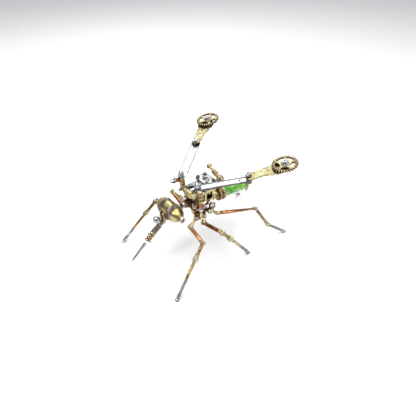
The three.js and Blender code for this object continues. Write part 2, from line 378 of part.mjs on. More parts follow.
// ---------------------------------------------------------------- neck and head
{
  const d = unit(NECK_B.clone().sub(NECK_A));
  add('neck', 'neck_link', join(ball(NECK_A, 3.0, 12, 8), ball(NECK_B, 2.4, 10, 6), rod(NECK_A, NECK_B, 1.5, 1.5, 8)), 'steel');
  const mid = NECK_A.clone().lerp(NECK_B, 0.56);
  hinge('neck_turn', 'thorax', 'neck', NECK_A, Z, [-14, 14]);
  // drum shell with its rear cup
  let drum = turned([[5.0, -9.7], [7.2, -9.7], [8.0, -9.2], [8.0, -5.0], [7.4, -4.8], [7.4, -4.2], [7.9, -4.0], [7.9, 4.0], [7.4, 4.2], [7.4, 4.8], [8.0, 5.0], [8.0, 9.2], [7.2, 9.7], [5.0, 9.7], [5.0, -9.7]], 18);
  drum = at(drum, HEAD_C, X, Y);
  const cup = cut(rod(V(0, -34.6, NECK_B.z), V(0, -31.1, NECK_B.z), 3.2, 3.2, 12), ball(NECK_B, 2.75, 10, 6));
  add('head', 'head_drum', cut(join(drum, cup), ball(NECK_B, 2.75, 10, 6)), 'brass');
  hinge('head_nod', 'neck', 'head', NECK_B, X, [-12, 12]);
  for (const [side, s] of [['left', 1], ['right', -1]]) {
    const e = [[0, 6.4], [4.6, 6.4], [4.6, 10.0], [6.9, 10.0], [7.3, 10.5], [7.1, 11.8], [6.3, 13.6], [5.1, 15.4], [4.1, 16.6], [3.3, 16.9], [3.3, 17.6], [2.4, 17.8], [2.4, 18.4], [0, 18.4]];
    add('head', 'eye_' + side, join(at(turned(e, 14), HEAD_C, V(s, 0, 0), Y), at(cut(cyl(3.1, 3.1, 18.0, 21.4, 6), cyl(1.4, 1.4, 20.2, 23, 6)), HEAD_C, V(s, 0, 0), Y)), 'brass');
  }
  // face fork: two copper prongs round the drum front, boss and proboscis fork
  const arcPts = [], a0 = -8, a1 = 62;
  for (let i = 0; i <= 5; i++) { const a = THREE.MathUtils.degToRad(a0 + ((a1 - a0) * i) / 5); arcPts.push([-9.9 * Math.cos(a), -9.9 * Math.sin(a)]); }
  for (let i = 5; i >= 0; i--) { const a = THREE.MathUtils.degToRad(a0 + ((a1 - a0) * i) / 5); arcPts.push([-8.35 * Math.cos(a), -8.3 * Math.sin(a)]); }
  const prong = (x) => slab(arcPts, -0.8, 0.8).applyMatrix4(new THREE.Matrix4().makeBasis(Y, Z, X).setPosition(V(x, HEAD_C.y, HEAD_C.z)));
  const pd = unit(PROB_MID.clone().sub(PROB_P));
  const fk = fork().transform(pose(PROB_P, pd, X).toArray());
  add('head', 'face_fork', join(prong(-2.6), prong(2.6), rod(V(-3.4, -49.0, 55.0), V(3.4, -49.0, 55.0), 1.5, 1.5, 10), fk,
    rod(PROB_P.clone().addScaledVector(pd, -2.9), PROB_P.clone().addScaledVector(pd, -5.0), 1.5, 1.5, 8), rod(PROB_P.clone().addScaledVector(pd, -4.4), V(0, -48.9, 54.8), 1.5, 1.5, 8), rod(V(0, -49, 55), V(0, -52.6, 55.4), 1.3, 1.3, 8)), 'copper');
  add('head', 'chin_ball', cut(ball(V(0, -56.2, 55.4), 3.4, 12, 8), rod(V(0, -49, 55), V(0, -53.4, 55.4), 1.6, 1.6, 8)), 'steel');
  // proboscis
  const Lp = PROB_MID.distanceTo(PROB_P), nd = unit(NEEDLE_B.clone().sub(NEEDLE_A));
  add('proboscis', 'proboscis_sleeve', join(eye().transform(pose(PROB_P, pd, X).toArray()), at(turned([[0, 2.9], [2.2, 2.9], [2.7, 3.6], [2.7, Lp - 3.2], [3.0, Lp - 3.0], [3.0, Lp - 1.6], [2.3, Lp - 1.4], [0, Lp - 1.4]], 6), PROB_P, pd)), 'grey');
  const na = NEEDLE_A.clone().addScaledVector(nd, -GAP);
  add('proboscis', 'proboscis_nozzle', at(turned([[0, 0], [3.6, 0], [3.6, 1.2], [2.3, 1.4], [2.3, 2.6], [2.9, 2.8], [2.9, 4.0], [2.3, 4.2], [2.3, 5.2], [3.1, 5.4], [3.1, 6.6], [1.9, 6.9], [0, 6.9]], 14), PROB_MID.clone().addScaledVector(pd, -0.9), unit(na.clone().sub(PROB_MID))), 'brass');
  add('proboscis', 'proboscis_needle', rod(NEEDLE_A, NEEDLE_B, 1.6, 0.85, 12), 'grey');
  hinge('proboscis_tilt', 'head', 'proboscis', PROB_P, X, [0, 22]);
}
{
  const d = unit(NECK_B.clone().sub(NECK_A)), mid = NECK_A.clone().lerp(NECK_B, 0.545);
  add('neck', 'neck_ring', cut(at(cyl(2.5, 2.5, -0.35, 0.35, 14), mid, d), rod(NECK_A, NECK_B, 1.8, 1.8, 12), ball(NECK_A, 3.3, 10, 6), ball(NECK_B, 2.7, 10, 6)), 'black');
}

// ---------------------------------------------------------------- origin under the middle of the model, on the floor
mosquito.updateMatrixWorld(true);
const bounds = new THREE.Box3().setFromObject(mosquito, true);
export const offset = V(-(bounds.min.x + bounds.max.x) / 2, -(bounds.min.y + bounds.max.y) / 2, -bounds.min.z);
mosquito.position.copy(offset);
mosquito.updateMatrixWorld(true);

export default mosquito;
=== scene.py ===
import math

import bmesh
import bpy
import numpy as np
from mathutils import Matrix, Vector
from mathutils.geometry import tessellate_polygon


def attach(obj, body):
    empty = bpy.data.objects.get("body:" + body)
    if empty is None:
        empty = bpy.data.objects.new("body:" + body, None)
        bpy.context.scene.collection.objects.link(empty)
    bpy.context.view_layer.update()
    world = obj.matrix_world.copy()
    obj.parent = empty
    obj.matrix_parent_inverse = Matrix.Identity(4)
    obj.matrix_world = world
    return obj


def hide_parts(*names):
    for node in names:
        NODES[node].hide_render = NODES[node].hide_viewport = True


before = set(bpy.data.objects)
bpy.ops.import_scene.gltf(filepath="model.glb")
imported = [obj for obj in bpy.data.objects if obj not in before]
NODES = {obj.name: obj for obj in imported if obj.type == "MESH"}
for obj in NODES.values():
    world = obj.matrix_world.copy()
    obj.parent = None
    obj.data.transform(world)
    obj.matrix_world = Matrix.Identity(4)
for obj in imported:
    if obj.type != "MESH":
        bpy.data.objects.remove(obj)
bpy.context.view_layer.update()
MM = 0.001
pi = math.pi
SHIFT = Vector((0, -0.12, 0))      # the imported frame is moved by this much, in mm, against the drawing


def V(x, y, z):
    return Vector((x, y, z))


# ------------------------------------------------------------------ materials
def nodes_of(mat):
    mat.use_nodes = True
    t = mat.node_tree
    t.nodes.clear()
    return t, t.nodes, t.links


def mapping(n, l, scale, stretch=(1, 1, 1)):
    tc = n.new("ShaderNodeTexCoord")
    mp = n.new("ShaderNodeMapping")
    mp.inputs["Scale"].default_value = (scale * stretch[0], scale * stretch[1], scale * stretch[2])
    l.new(tc.outputs["Object"], mp.inputs["Vector"])
    return mp.outputs["Vector"]


def noise(n, l, vec, scale, detail=4.0, rough=0.55):
    t = n.new("ShaderNodeTexNoise")
    t.inputs["Scale"].default_value = scale
    t.inputs["Detail"].default_value = detail
    t.inputs["Roughness"].default_value = rough
    l.new(vec, t.inputs["Vector"])
    return t.outputs["Fac"]


def ramp(n, l, fac, stops):
    r = n.new("ShaderNodeValToRGB")
    e = r.color_ramp.elements
    while len(e) < len(stops):
        e.new(0.5)
    for el, (p, c) in zip(e, stops):
        el.position = p
        el.color = (*c, 1.0) if len(c) == 3 else c
    l.new(fac, r.inputs["Fac"])
    return r.outputs["Color"]


def mixc(n, l, fac, a, b, mode="MIX"):
    m = n.new("ShaderNodeMix")
    m.data_type = "RGBA"
    m.blend_type = mode
    if isinstance(fac, (int, float)):
        m.inputs[0].default_value = fac
    else:
        l.new(fac, m.inputs[0])
    for sock, v in ((m.inputs[6], a), (m.inputs[7], b)):
        if isinstance(v, tuple):
            sock.default_value = (*v, 1.0)
        else:
            l.new(v, sock)
    return m.outputs[2]


def rng(n, l, v, a, b, c, d):
    m = n.new("ShaderNodeMapRange")
    for k, x in zip(("From Min", "From Max", "To Min", "To Max"), (a, b, c, d)):
        m.inputs[k].default_value = x
    l.new(v, m.inputs["Value"])
    return m.outputs["Result"]


def math2(n, l, op, a, b):
    m = n.new("ShaderNodeMath")
    m.operation = op
    for i, v in enumerate((a, b)):
        if isinstance(v, (int, float)):
            m.inputs[i].default_value = v
        else:
            l.new(v, m.inputs[i])
    return m.outputs[0]


MATS = {}


def metal(name, base, dark, light, rough, grain=0.12, streak=(1, 1, 1), crevice_dirt_and_shade=0.55, wear=0.5, metallic=1.0, bump=0.35, tarnish=None):
    """Turned or stamped metal: slow tone drift, fine machining grain, painted shade darkening corners and crevices
    (ambient occlusion, also rougher there as dirt), bright worn edges.
    """
    mat = bpy.data.materials.new(name)
    t, n, l = nodes_of(mat)
    out = n.new("ShaderNodeOutputMaterial")
    p = n.new("ShaderNodeBsdfPrincipled")
    p.inputs["Metallic"].default_value = metallic
    p.inputs["IOR"].default_value = 1.5
    vec = mapping(n, l, 1000.0)
    fine = mapping(n, l, 1000.0, streak)
    drift = noise(n, l, vec, 0.16, 3.0)
    spots = noise(n, l, vec, 0.9, 5.0, 0.65)
    hair = noise(n, l, fine, 5.0, 6.0, 0.7)
    deep = lambda q, k: tuple(v * k for v in q)
    c = ramp(n, l, drift, [(0.28, deep(dark, 0.62)), (0.5, deep(base, 0.72)), (0.74, deep(light, 0.82))])
    if tarnish:
        c = mixc(n, l, rng(n, l, spots, 0.5, 0.72, 0.0, 0.75), c, tarnish)
    c = mixc(n, l, rng(n, l, hair, 0.3, 0.75, 0.0, grain * 1.6), c, tuple(v * 0.55 for v in dark))
    geo = n.new("ShaderNodeNewGeometry")
    edge = rng(n, l, geo.outputs["Pointiness"], 0.515, 0.60, 0.0, 1.0)
    worn = math2(n, l, "MULTIPLY", edge, rng(n, l, spots, 0.3, 0.62, 0.25, wear + 0.25))
    c = mixc(n, l, worn, c, tuple(min(1.0, v * 1.25 + 0.06) for v in light))
    # painted shade: ambient occlusion darkens the colour towards a dark tone in corners, crevices and between parts;
    # the same mask adds roughness as dirt
    ao = n.new("ShaderNodeAmbientOcclusion")
    ao.samples = 6
    ao.inputs["Distance"].default_value = 2.6 * MM
    dirt_and_painted_shade = rng(n, l, ao.outputs["AO"], 0.25, 0.92, min(1.0, crevice_dirt_and_shade * 1.6), 0.0)
    c = mixc(n, l, dirt_and_painted_shade, c, tuple(v * 0.16 for v in dark))
    l.new(c, p.inputs["Base Color"])
    r0 = rng(n, l, spots, 0.3, 0.75, rough * 0.75, rough * 1.45)
    r1 = math2(n, l, "ADD", r0, rng(n, l, hair, 0.3, 0.8, -0.03, 0.09))
    r2 = math2(n, l, "ADD", r1, math2(n, l, "MULTIPLY", dirt_and_painted_shade, 0.35))
    cl = n.new("ShaderNodeClamp")
    cl.inputs["Min"].default_value = 0.04
    cl.inputs["Max"].default_value = 0.9
    l.new(r2, cl.inputs["Value"])
    l.new(cl.outputs[0], p.inputs["Roughness"])
    b = n.new("ShaderNodeBump")
    b.inputs["Strength"].default_value = bump
    b.inputs["Distance"].default_value = 0.03 * MM
    l.new(math2(n, l, "ADD", hair, math2(n, l, "MULTIPLY", spots, 0.8)), b.inputs["Height"])
    l.new(b.outputs["Normal"], p.inputs["Normal"])
    l.new(p.outputs[0], out.inputs["Surface"])
    MATS[name] = mat
    return mat


metal("brass", (0.74, 0.59, 0.25), (0.44, 0.33, 0.11), (0.95, 0.84, 0.50), 0.19, tarnish=(0.30, 0.22, 0.07))
metal("pale_brass", (0.78, 0.69, 0.38), (0.46, 0.37, 0.15), (0.98, 0.92, 0.62), 0.17, crevice_dirt_and_shade=0.8, tarnish=(0.46, 0.36, 0.13))
metal("copper", (0.60, 0.27, 0.13), (0.30, 0.10, 0.04), (0.88, 0.55, 0.36), 0.21, crevice_dirt_and_shade=0.8, tarnish=(0.34, 0.13, 0.07))
metal("bronze", (0.44, 0.28, 0.12), (0.17, 0.09, 0.03), (0.80, 0.58, 0.32), 0.22, crevice_dirt_and_shade=0.85, tarnish=(0.20, 0.12, 0.05))
metal("red_copper", (0.47, 0.11, 0.055), (0.22, 0.03, 0.02), (0.78, 0.34, 0.20), 0.2, tarnish=(0.14, 0.03, 0.02))
metal("steel", (0.66, 0.66, 0.69), (0.40, 0.40, 0.44), (0.88, 0.88, 0.90), 0.14, grain=0.06, crevice_dirt_and_shade=0.5)
metal("strip_steel", (0.64, 0.64, 0.68), (0.58, 0.57, 0.64), (0.70, 0.70, 0.72), 0.13, grain=0.05, streak=(0.25, 0.25, 1.0), crevice_dirt_and_shade=0.35)
metal("cover_steel", (0.66, 0.66, 0.70), (0.54, 0.54, 0.60), (0.80, 0.80, 0.83), 0.30, grain=0.12, streak=(1.0, 0.2, 1.0), crevice_dirt_and_shade=0.45)
metal("deck_steel", (0.46, 0.46, 0.50), (0.36, 0.36, 0.42), (0.60, 0.60, 0.64), 0.33, grain=0.14, streak=(1.0, 0.2, 1.0), crevice_dirt_and_shade=0.45)
metal("wing_brass", (0.40, 0.365, 0.20), (0.23, 0.20, 0.08), (0.57, 0.535, 0.32), 0.21, grain=0.3, crevice_dirt_and_shade=0.9, tarnish=(0.22, 0.18, 0.06))
metal("gunmetal", (0.42, 0.40, 0.41), (0.20, 0.18, 0.18), (0.70, 0.69, 0.71), 0.26, grain=0.2, tarnish=(0.24, 0.17, 0.13))
metal("needle_steel", (0.52, 0.52, 0.54), (0.34, 0.34, 0.36), (0.76, 0.76, 0.78), 0.27, grain=0.16, streak=(0.4, 0.15, 0.4))
metal("dark_bronze", (0.16, 0.095, 0.065), (0.06, 0.035, 0.03), (0.42, 0.27, 0.18), 0.28, tarnish=(0.05, 0.03, 0.03))
metal("olive_brass", (0.34, 0.28, 0.11), (0.11, 0.085, 0.03), (0.74, 0.64, 0.36), 0.24, crevice_dirt_and_shade=0.85, tarnish=(0.12, 0.10, 0.05))
metal("edge_steel", (0.12, 0.12, 0.15), (0.06, 0.06, 0.08), (0.30, 0.30, 0.35), 0.3, grain=0.15)
metal("black_steel", (0.09, 0.085, 0.085), (0.04, 0.04, 0.045), (0.34, 0.33, 0.32), 0.3, grain=0.15)
metal("gunmetal_warm", (0.34, 0.27, 0.22), (0.12, 0.08, 0.06), (0.72, 0.64, 0.56), 0.24, crevice_dirt_and_shade=0.9, grain=0.18, tarnish=(0.20, 0.12, 0.08))
metal("eye_brass", (0.62, 0.53, 0.24), (0.36, 0.29, 0.10), (0.86, 0.80, 0.50), 0.22, tarnish=(0.22, 0.17, 0.06))
metal("tip_steel", (0.36, 0.35, 0.36), (0.12, 0.115, 0.12), (0.78, 0.78, 0.80), 0.22, crevice_dirt_and_shade=0.9, grain=0.2, tarnish=(0.22, 0.19, 0.16))
metal("deep_olive", (0.30, 0.25, 0.10), (0.13, 0.10, 0.04), (0.66, 0.58, 0.30), 0.26, tarnish=(0.10, 0.08, 0.04))
metal("rose_copper", (0.62, 0.40, 0.33), (0.40, 0.20, 0.15), (0.84, 0.68, 0.61), 0.2, crevice_dirt_and_shade=0.8)


def rubber():
    mat = bpy.data.materials.new("black_rubber")
    t, n, l = nodes_of(mat)
    out = n.new("ShaderNodeOutputMaterial")
    p = n.new("ShaderNodeBsdfPrincipled")
    vec = mapping(n, l, 1000.0)
    f = noise(n, l, vec, 3.0, 5.0)
    l.new(ramp(n, l, f, [(0.3, (0.012, 0.012, 0.013)), (0.7, (0.045, 0.043, 0.042))]), p.inputs["Base Color"])
    l.new(rng(n, l, f, 0.3, 0.7, 0.42, 0.62), p.inputs["Roughness"])
    b = n.new("ShaderNodeBump")
    b.inputs["Strength"].default_value = 0.4
    b.inputs["Distance"].default_value = 0.04 * MM
    l.new(f, b.inputs["Height"])
    l.new(b.outputs["Normal"], p.inputs["Normal"])
    l.new(p.outputs[0], out.inputs["Surface"])
    MATS["black_rubber"] = mat


def glass():
    mat = bpy.data.materials.new("vial_glass")
    t, n, l = nodes_of(mat)
    out = n.new("ShaderNodeOutputMaterial")
    p = n.new("ShaderNodeBsdfPrincipled")
    p.inputs["Transmission Weight"].default_value = 1.0
    p.inputs["IOR"].default_value = 1.45
    p.inputs["Metallic"].default_value = 0.0
    vec = mapping(n, l, 1000.0)
    f = noise(n, l, vec, 0.5, 3.0)
    l.new(ramp(n, l, f, [(0.3, (0.93, 0.99, 0.93)), (0.7, (1.0, 1.0, 1.0))]), p.inputs["Base Color"])
    l.new(rng(n, l, noise(n, l, vec, 2.2, 5.0), 0.35, 0.8, 0.0, 0.05), p.inputs["Roughness"])
    b = n.new("ShaderNodeBump")
    b.inputs["Strength"].default_value = 0.15
    b.inputs["Distance"].default_value = 0.05 * MM
    l.new(f, b.inputs["Height"])
    l.new(b.outputs["Normal"], p.inputs["Normal"])
    l.new(p.outputs[0], out.inputs["Surface"])
    MATS["vial_glass"] = mat


def liquid():
    mat = bpy.data.materials.new("green_liquid")
    t, n, l = nodes_of(mat)
    out = n.new("ShaderNodeOutputMaterial")
    p = n.new("ShaderNodeBsdfPrincipled")
    vec = mapping(n, l, 1000.0)
    drift = noise(n, l, vec, 0.11, 3.0)
    c = ramp(n, l, drift, [(0.25, (0.04, 0.28, 0.015)), (0.5, (0.12, 0.48, 0.04)), (0.75, (0.44, 0.66, 0.12))])
    vor = n.new("ShaderNodeTexVoronoi")
    vor.inputs["Scale"].default_value = 0.75
    l.new(vec, vor.inputs["Vector"])
    spark = rng(n, l, vor.outputs["Distance"], 0.22, 0.46, 1.0, 0.0)
    patch = rng(n, l, noise(n, l, vec, 0.16, 2.0), 0.36, 0.54, 0.1, 0.95)
    c = mixc(n, l, math2(n, l, "MULTIPLY", spark, patch), c, (0.86, 0.92, 0.30))
    l.new(c, p.inputs["Base Color"])
    # faint emission: a painted glow, the liquid is no lamp
    l.new(c, p.inputs["Emission Color"])
    p.inputs["Emission Strength"].default_value = 0.12
    p.inputs["Subsurface Weight"].default_value = 0.25
    p.inputs["Subsurface Radius"].default_value = (0.5, 1.0, 0.3)
    p.inputs["Subsurface Scale"].default_value = 1.0 * MM
    l.new(rng(n, l, drift, 0.3, 0.7, 0.12, 0.26), p.inputs["Roughness"])
    b = n.new("ShaderNodeBump")
    b.inputs["Strength"].default_value = 0.3
    b.inputs["Distance"].default_value = 0.1 * MM
    l.new(spark, b.inputs["Height"])
    l.new(b.outputs["Normal"], p.inputs["Normal"])
    l.new(p.outputs[0], out.inputs["Surface"])
    MATS["green_liquid"] = mat


rubber()
glass()
liquid()


# ------------------------------------------------------------------ mesh kit, in millimetres
def basis(o, z, x=None):
    z = Vector(z).normalized()
    x = Vector(x) if x is not None else V(1, 0, 0)
    x = x - z * x.dot(z)
    if x.length < 1e-3:
        x = V(0, 1, 0) - z * z.y
    x.normalize()
    y = z.cross(x)
    m = Matrix((x, y, z)).transposed().to_4x4()
    m.translation = Vector(o)
    return m


def hexr(a):
    """radius factor of a hexagon with corners at radius 1, first corner at angle 0"""
    k = (a % (pi / 3)) - pi / 6
    return math.cos(pi / 6) / math.cos(k)


def soften(pr, c):
    """Cuts every sharp corner of a profile [(r, z, flag)], so that turned edges catch the light."""
    out = []
    k = len(pr)
    for i, q in enumerate(pr):
        if i in (0, k - 1):
            out.append(q)
            continue
        a, b = pr[i - 1], pr[i + 1]
        d0 = math.hypot(q[0] - a[0], q[1] - a[1])
        d1 = math.hypot(b[0] - q[0], b[1] - q[1])
        if d0 < 1e-6 or d1 < 1e-6:
            out.append(q)
            continue
        cosang = ((q[0] - a[0]) * (b[0] - q[0]) + (q[1] - a[1]) * (b[1] - q[1])) / (d0 * d1)
        if cosang > 0.9:
            out.append(q)
            continue
        e0, e1 = min(c, d0 * 0.4), min(c, d1 * 0.4)
        p0 = (q[0] + (a[0] - q[0]) * e0 / d0, q[1] + (a[1] - q[1]) * e0 / d0)
        p1 = (q[0] + (b[0] - q[0]) * e1 / d1, q[1] + (b[1] - q[1]) * e1 / d1)
        m = ((p0[0] + p1[0]) * 0.25 + q[0] * 0.5, (p0[1] + p1[1]) * 0.25 + q[1] * 0.5)
        for r, z in (p0, m, p1):
            out.append((r, z, q[2]))
    return out


class Part:
    """One visible piece: shells added in millimetres, made into one object that rides on a body."""

    def __init__(self, name, body, *replaces, slot=None, angle=28):
        self.name, self.body, self.nodes, self.slot, self.angle = name, body, replaces, slot, angle
        self.v, self.f, self.m, self.mats = [], [], [], []

    def idx(self, mat):
        if mat not in self.mats:
            self.mats.append(mat)
        return self.mats.index(mat)

    def raw(self, verts, faces, mat, M=None):
        b = len(self.v)
        self.v += [tuple((M @ Vector(p)) if M is not None else p) for p in verts]
        self.f += [tuple(b + i for i in f) for f in faces]
        self.m += [self.idx(mat)] * len(faces)

    def turn(self, profile, mat, o, z, x=None, seg=40, soft=0.12, mod=None, arc=None):
        """Turned piece. profile: (r, z) or (r, z, 'h') for a hexagonal ring of corner radius r."""
        pr = [(q[0], q[1], q[2] if len(q) > 2 else "") for q in profile]
        if soft:
            pr = soften(pr, soft)
        verts, rings = [], []
        for r, h, fl in pr:
            if r < 1e-6:
                rings.append([len(verts)])
                verts.append((0, 0, h))
                continue
            ring = []
            for i in range(seg):
                a = 2 * pi * i / seg
                rr = r
                if fl == "h":
                    rr = r * hexr(a)
                elif fl == "c":
                    rr = min(r, self._hexcut * hexr(a))
                if mod:
                    rr = mod(a, rr, h)
                ring.append(len(verts))
                verts.append((rr * math.cos(a), rr * math.sin(a), h))
            rings.append(ring)
        faces = []
        pairs = list(zip(rings, rings[1:]))
        closed = len(rings[0]) > 1 and len(rings[-1]) > 1
        if closed:
            pairs.append((rings[-1], rings[0]))
        for a, b in pairs:
            for i in range(seg):
                j = (i + 1) % seg
                if len(a) == 1 and len(b) == 1:
                    break
                if len(a) == 1:
                    faces.append((a[0], b[i], b[j]))
                elif len(b) == 1:
                    faces.append((a[j], a[i], b[0]))
                else:
                    faces.append((a[j], a[i], b[i], b[j]))
        self.raw(verts, faces, mat, basis(o, z, x))
        return self

    def nut(self, o, z, R, h, mat, bore=0.0, x=None, dome=0.0, seg=48, z0=0.0):
        """Hexagonal nut or post with chamfered corners; dome > 0 adds a rounded cap on top."""
        self._hexcut = R
        ch = min(R * 0.12, h * 0.2)
        pr = [(bore, z0, ""), (R * 0.84, z0, ""), (R * 0.885, z0, "c"), (R * 1.001, z0 + ch, "c"), (R * 1.001, z0 + h - ch, "c"), (R * 0.885, z0 + h, "c"), (R * 0.82, z0 + h, "")]
        if dome > 0:
            k = 8
            for i in range(k + 1):
                a = (i / k) * pi / 2
                pr.append((R * 0.74 * math.cos(a) if i < k else 0, z0 + h + dome * math.sin(a) + 0.02, ""))
            pr[0] = (0.0, z0, "")
        else:
            pr.append((bore, z0 + h, ""))
        self.turn(pr, mat, o, z, x, seg, soft=0)
        return self

    def cap(self, o, z, r, h, mat, socket="hex", x=None, z0=0.0, seg=36, round_=0.2):
        """Round screw head with a hexagonal socket, a slot or a plain crown."""
        if socket == "hex":
            s = r * 0.5
            pr = [(0, z0), (r * 0.94, z0), (r, z0 + h * 0.12), (r, z0 + h * (0.98 - round_)), (r * (1 - round_ * 0.45), z0 + h * (1 - round_ * 0.2)), (r * 0.74, z0 + h), (s * 1.14, z0 + h), (s, z0 + h - 0.05 * r, "h"), (s * 0.98, z0 + h * 0.4, "h"), (s * 0.5, z0 + h * 0.36), (0, z0 + h * 0.34)]
            self.turn(pr, mat, o, z, x, seg, soft=0)
        elif socket == "slot":
            self.turn([(0, z0), (r * 0.94, z0), (r, z0 + h * 0.1), (r, z0 + h * 0.56), (0, z0 + h * 0.56)], mat, o, z, x, seg, soft=0.05)
            w = r * 0.17
            M = basis(o, z, x)
            for s in (1, -1):
                pts = []
                a0 = math.asin(w / (r * 0.985))
                for i in range(13):
                    a = a0 + (pi - 2 * a0) * i / 12
                    pts.append((r * 0.985 * math.cos(a), s * r * 0.985 * math.sin(a)))
                if s < 0:
                    pts.reverse()
                self.plate(pts, z0 + h * 0.5, z0 + h, mat, M=M, c=0.16 * r)
        else:
            pr = [(0, z0), (r * 0.95, z0), (r, z0 + h * 0.15)]
            for i in range(7):
                a = (i / 6) * pi / 2
                pr.append((r * math.cos(a) if i < 6 else 0, z0 + h * 0.35 + h * 0.65 * math.sin(a)))
            self.turn(pr, mat, o, z, x, seg, soft=0)
        return self

    def plate(self, pts, z0, z1, mat, o=None, z=None, x=None, holes=(), M=None, c=0.14, side=None):
        """Flat plate with bevelled rims. pts and holes are closed outlines in local XY."""
        if M is None:
            M = basis(o if o is not None else V(0, 0, 0), z if z is not None else V(0, 0, 1), x)
        loops = [list(pts)] + [list(h) for h in holes]
        verts, faces = [], []
        c = min(c, (z1 - z0) * 0.35)
        tops, bots = [], []
        for li, lp in enumerate(loops):
            area = sum(lp[i][0] * lp[(i + 1) % len(lp)][1] - lp[(i + 1) % len(lp)][0] * lp[i][1] for i in range(len(lp)))
            if (area > 0) == (li > 0):
                lp.reverse()
            k = len(lp)
            off = []
            for i in range(k):
                a, q, b = lp[i - 1], lp[i], lp[(i + 1) % k]
                d0 = Vector((q[0] - a[0], q[1] - a[1])).normalized()
                d1 = Vector((b[0] - q[0], b[1] - q[1])).normalized()
                nn = Vector((-(d0.y + d1.y), d0.x + d1.x))
                if nn.length < 1e-4:
                    nn = Vector((-d0.y, d0.x))
                nn.normalize()
                cs = max(0.45, abs(nn.dot(Vector((-d0.y, d0.x)))))
                off.append((q[0] + nn.x * c / cs, q[1] + nn.y * c / cs))
            rows = []
            for zz, src in ((z0, off), (z0 + c * 0.4, [((p[0] * 0.7 + w[0] * 0.3), (p[1] * 0.7 + w[1] * 0.3)) for p, w in zip(lp, off)]), (z0 + c, lp), (z1 - c, lp), (z1 - c * 0.4, [((p[0] * 0.7 + w[0] * 0.3), (p[1] * 0.7 + w[1] * 0.3)) for p, w in zip(lp, off)]), (z1, off)):
                rows.append(range(len(verts), len(verts) + k))
                verts += [(p[0], p[1], zz) for p in src]
            for r0, r1 in zip(rows, rows[1:]):
                for i in range(k):
                    j = (i + 1) % k
                    faces.append((r0[i], r0[j], r1[j], r1[i]))
            bots.append((rows[0], off))
            tops.append((rows[-1], off))
        tri = tessellate_polygon([[Vector((p[0], p[1], 0)) for p in off] for _, off in tops])
        top_ix = [i for r, _ in tops for i in r]
        bot_ix = [i for r, _ in bots for i in r]
        rim = len(faces)
        for a, b, d in tri:
            faces.append((top_ix[a], top_ix[b], top_ix[d]))
            faces.append((bot_ix[d], bot_ix[b], bot_ix[a]))
        first = len(self.f)
        self.raw(verts, faces, mat, M)
        if side:
            k = self.idx(side)
            self.m[first:first + rim] = [k] * rim
        return self

    def bar(self, x0, x1, y0, y1, z0, z1, mat, c=0.2, M=None):
        """Bevelled bar along the local axes."""
        ext = c
        pts = [(x0 + ext, y0), (x1 - ext, y0), (x1, y0 + ext), (x1, y1 - ext), (x1 - ext, y1), (x0 + ext, y1), (x0, y1 - ext), (x0, y0 + ext)]
        self.plate(pts, z0, z1, mat, M=M if M is not None else Matrix.Identity(4), c=c * 0.8)
        return self

    def ball(self, o, r, mat, seg=40, rings=24, z=(0, 0, 1), squash=1.0):
        pr = [(0 if i in (0, rings) else r * math.sin(pi * i / rings), -r * squash * math.cos(pi * i / rings)) for i in range(rings + 1)]
        self.turn(pr, mat, o, z, None, seg, soft=0)
        return self

    def rod(self, p, q, r0, mat, r1=None, seg=32, soft=0.12, mod=None, rows=0):
        p, q = Vector(p), Vector(q)
        L = (q - p).length
        r1 = r0 if r1 is None else r1
        pr = [(0, 0), (r0, 0)]
        for i in range(1, rows):
            pr.append((r0 + (r1 - r0) * i / rows, L * i / rows))
        pr += [(r1, L), (0, L)]
        self.turn(pr, mat, p, q - p, None, seg, soft=soft, mod=mod)
        return self

    def thread(self, p, q, r, mat, pitch=0.55, depth=0.16, seg=28, x=None):
        """Rod with a real helical thread between p and q."""
        p, q = Vector(p), Vector(q)
        L = (q - p).length
        n = max(6, int(L / pitch * 5))
        pr = [(0, 0), (r - depth, 0)] + [(r, 0.25 + (L - 0.5) * i / n) for i in range(n + 1)] + [(r - depth, L), (0, L)]

        def mod(a, rr, h):
            if rr < r - 1e-6 or h < 0.2 or h > L - 0.2:
                return rr
            return rr - depth * (0.5 - 0.5 * math.cos(2 * pi * h / pitch - a))
        self.turn(pr, mat, p, q - p, x, seg, soft=0, mod=mod)
        return self

    def done(self):
        me = bpy.data.meshes.new(self.name)
        me.from_pydata([((x + SHIFT.x) * MM, (y + SHIFT.y) * MM, (z + SHIFT.z) * MM) for x, y, z in self.v], [], self.f)
        for m in self.mats:
            me.materials.append(MATS[m])
        me.polygons.foreach_set("material_index", self.m)
        bm = bmesh.new()
        bm.from_mesh(me)
        bmesh.ops.dissolve_degenerate(bm, dist=1e-8, edges=bm.edges)
        bmesh.ops.recalc_face_normals(bm, faces=bm.faces)
        bm.to_mesh(me)
        bm.free()
        me.polygons.foreach_set("use_smooth", [True] * len(me.polygons))
        me.set_sharp_from_angle(angle=math.radians(self.angle))
        me.update()
        ob = bpy.data.objects.new(self.name, me)
        bpy.context.scene.collection.objects.link(ob)
        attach(ob, self.body)
        if self.nodes:
            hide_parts(*self.nodes)
        return ob


def arc2(cx, cy, r, a0, a1, n):
    return [(cx + r * math.cos(a0 + (a1 - a0) * i / n), cy + r * math.sin(a0 + (a1 - a0) * i / n)) for i in range(n + 1)]


def circle(cx, cy, r, n=24):
    return [(cx + r * math.cos(2 * pi * i / n), cy + r * math.sin(2 * pi * i / n)) for i in range(n)]


# ------------------------------------------------------------------ hinge ends
EAR_R, EYE_T, EAR_T, EAR_X, PIN_R = 2.2, 1.6, 0.9, 1.55, 0.7
LOCAL = Matrix(((0, 0, 1, 0), (1, 0, 0, 0), (0, 1, 0, 0), (0, 0, 0, 1)))     # plate XY -> local YZ, thickness -> local X


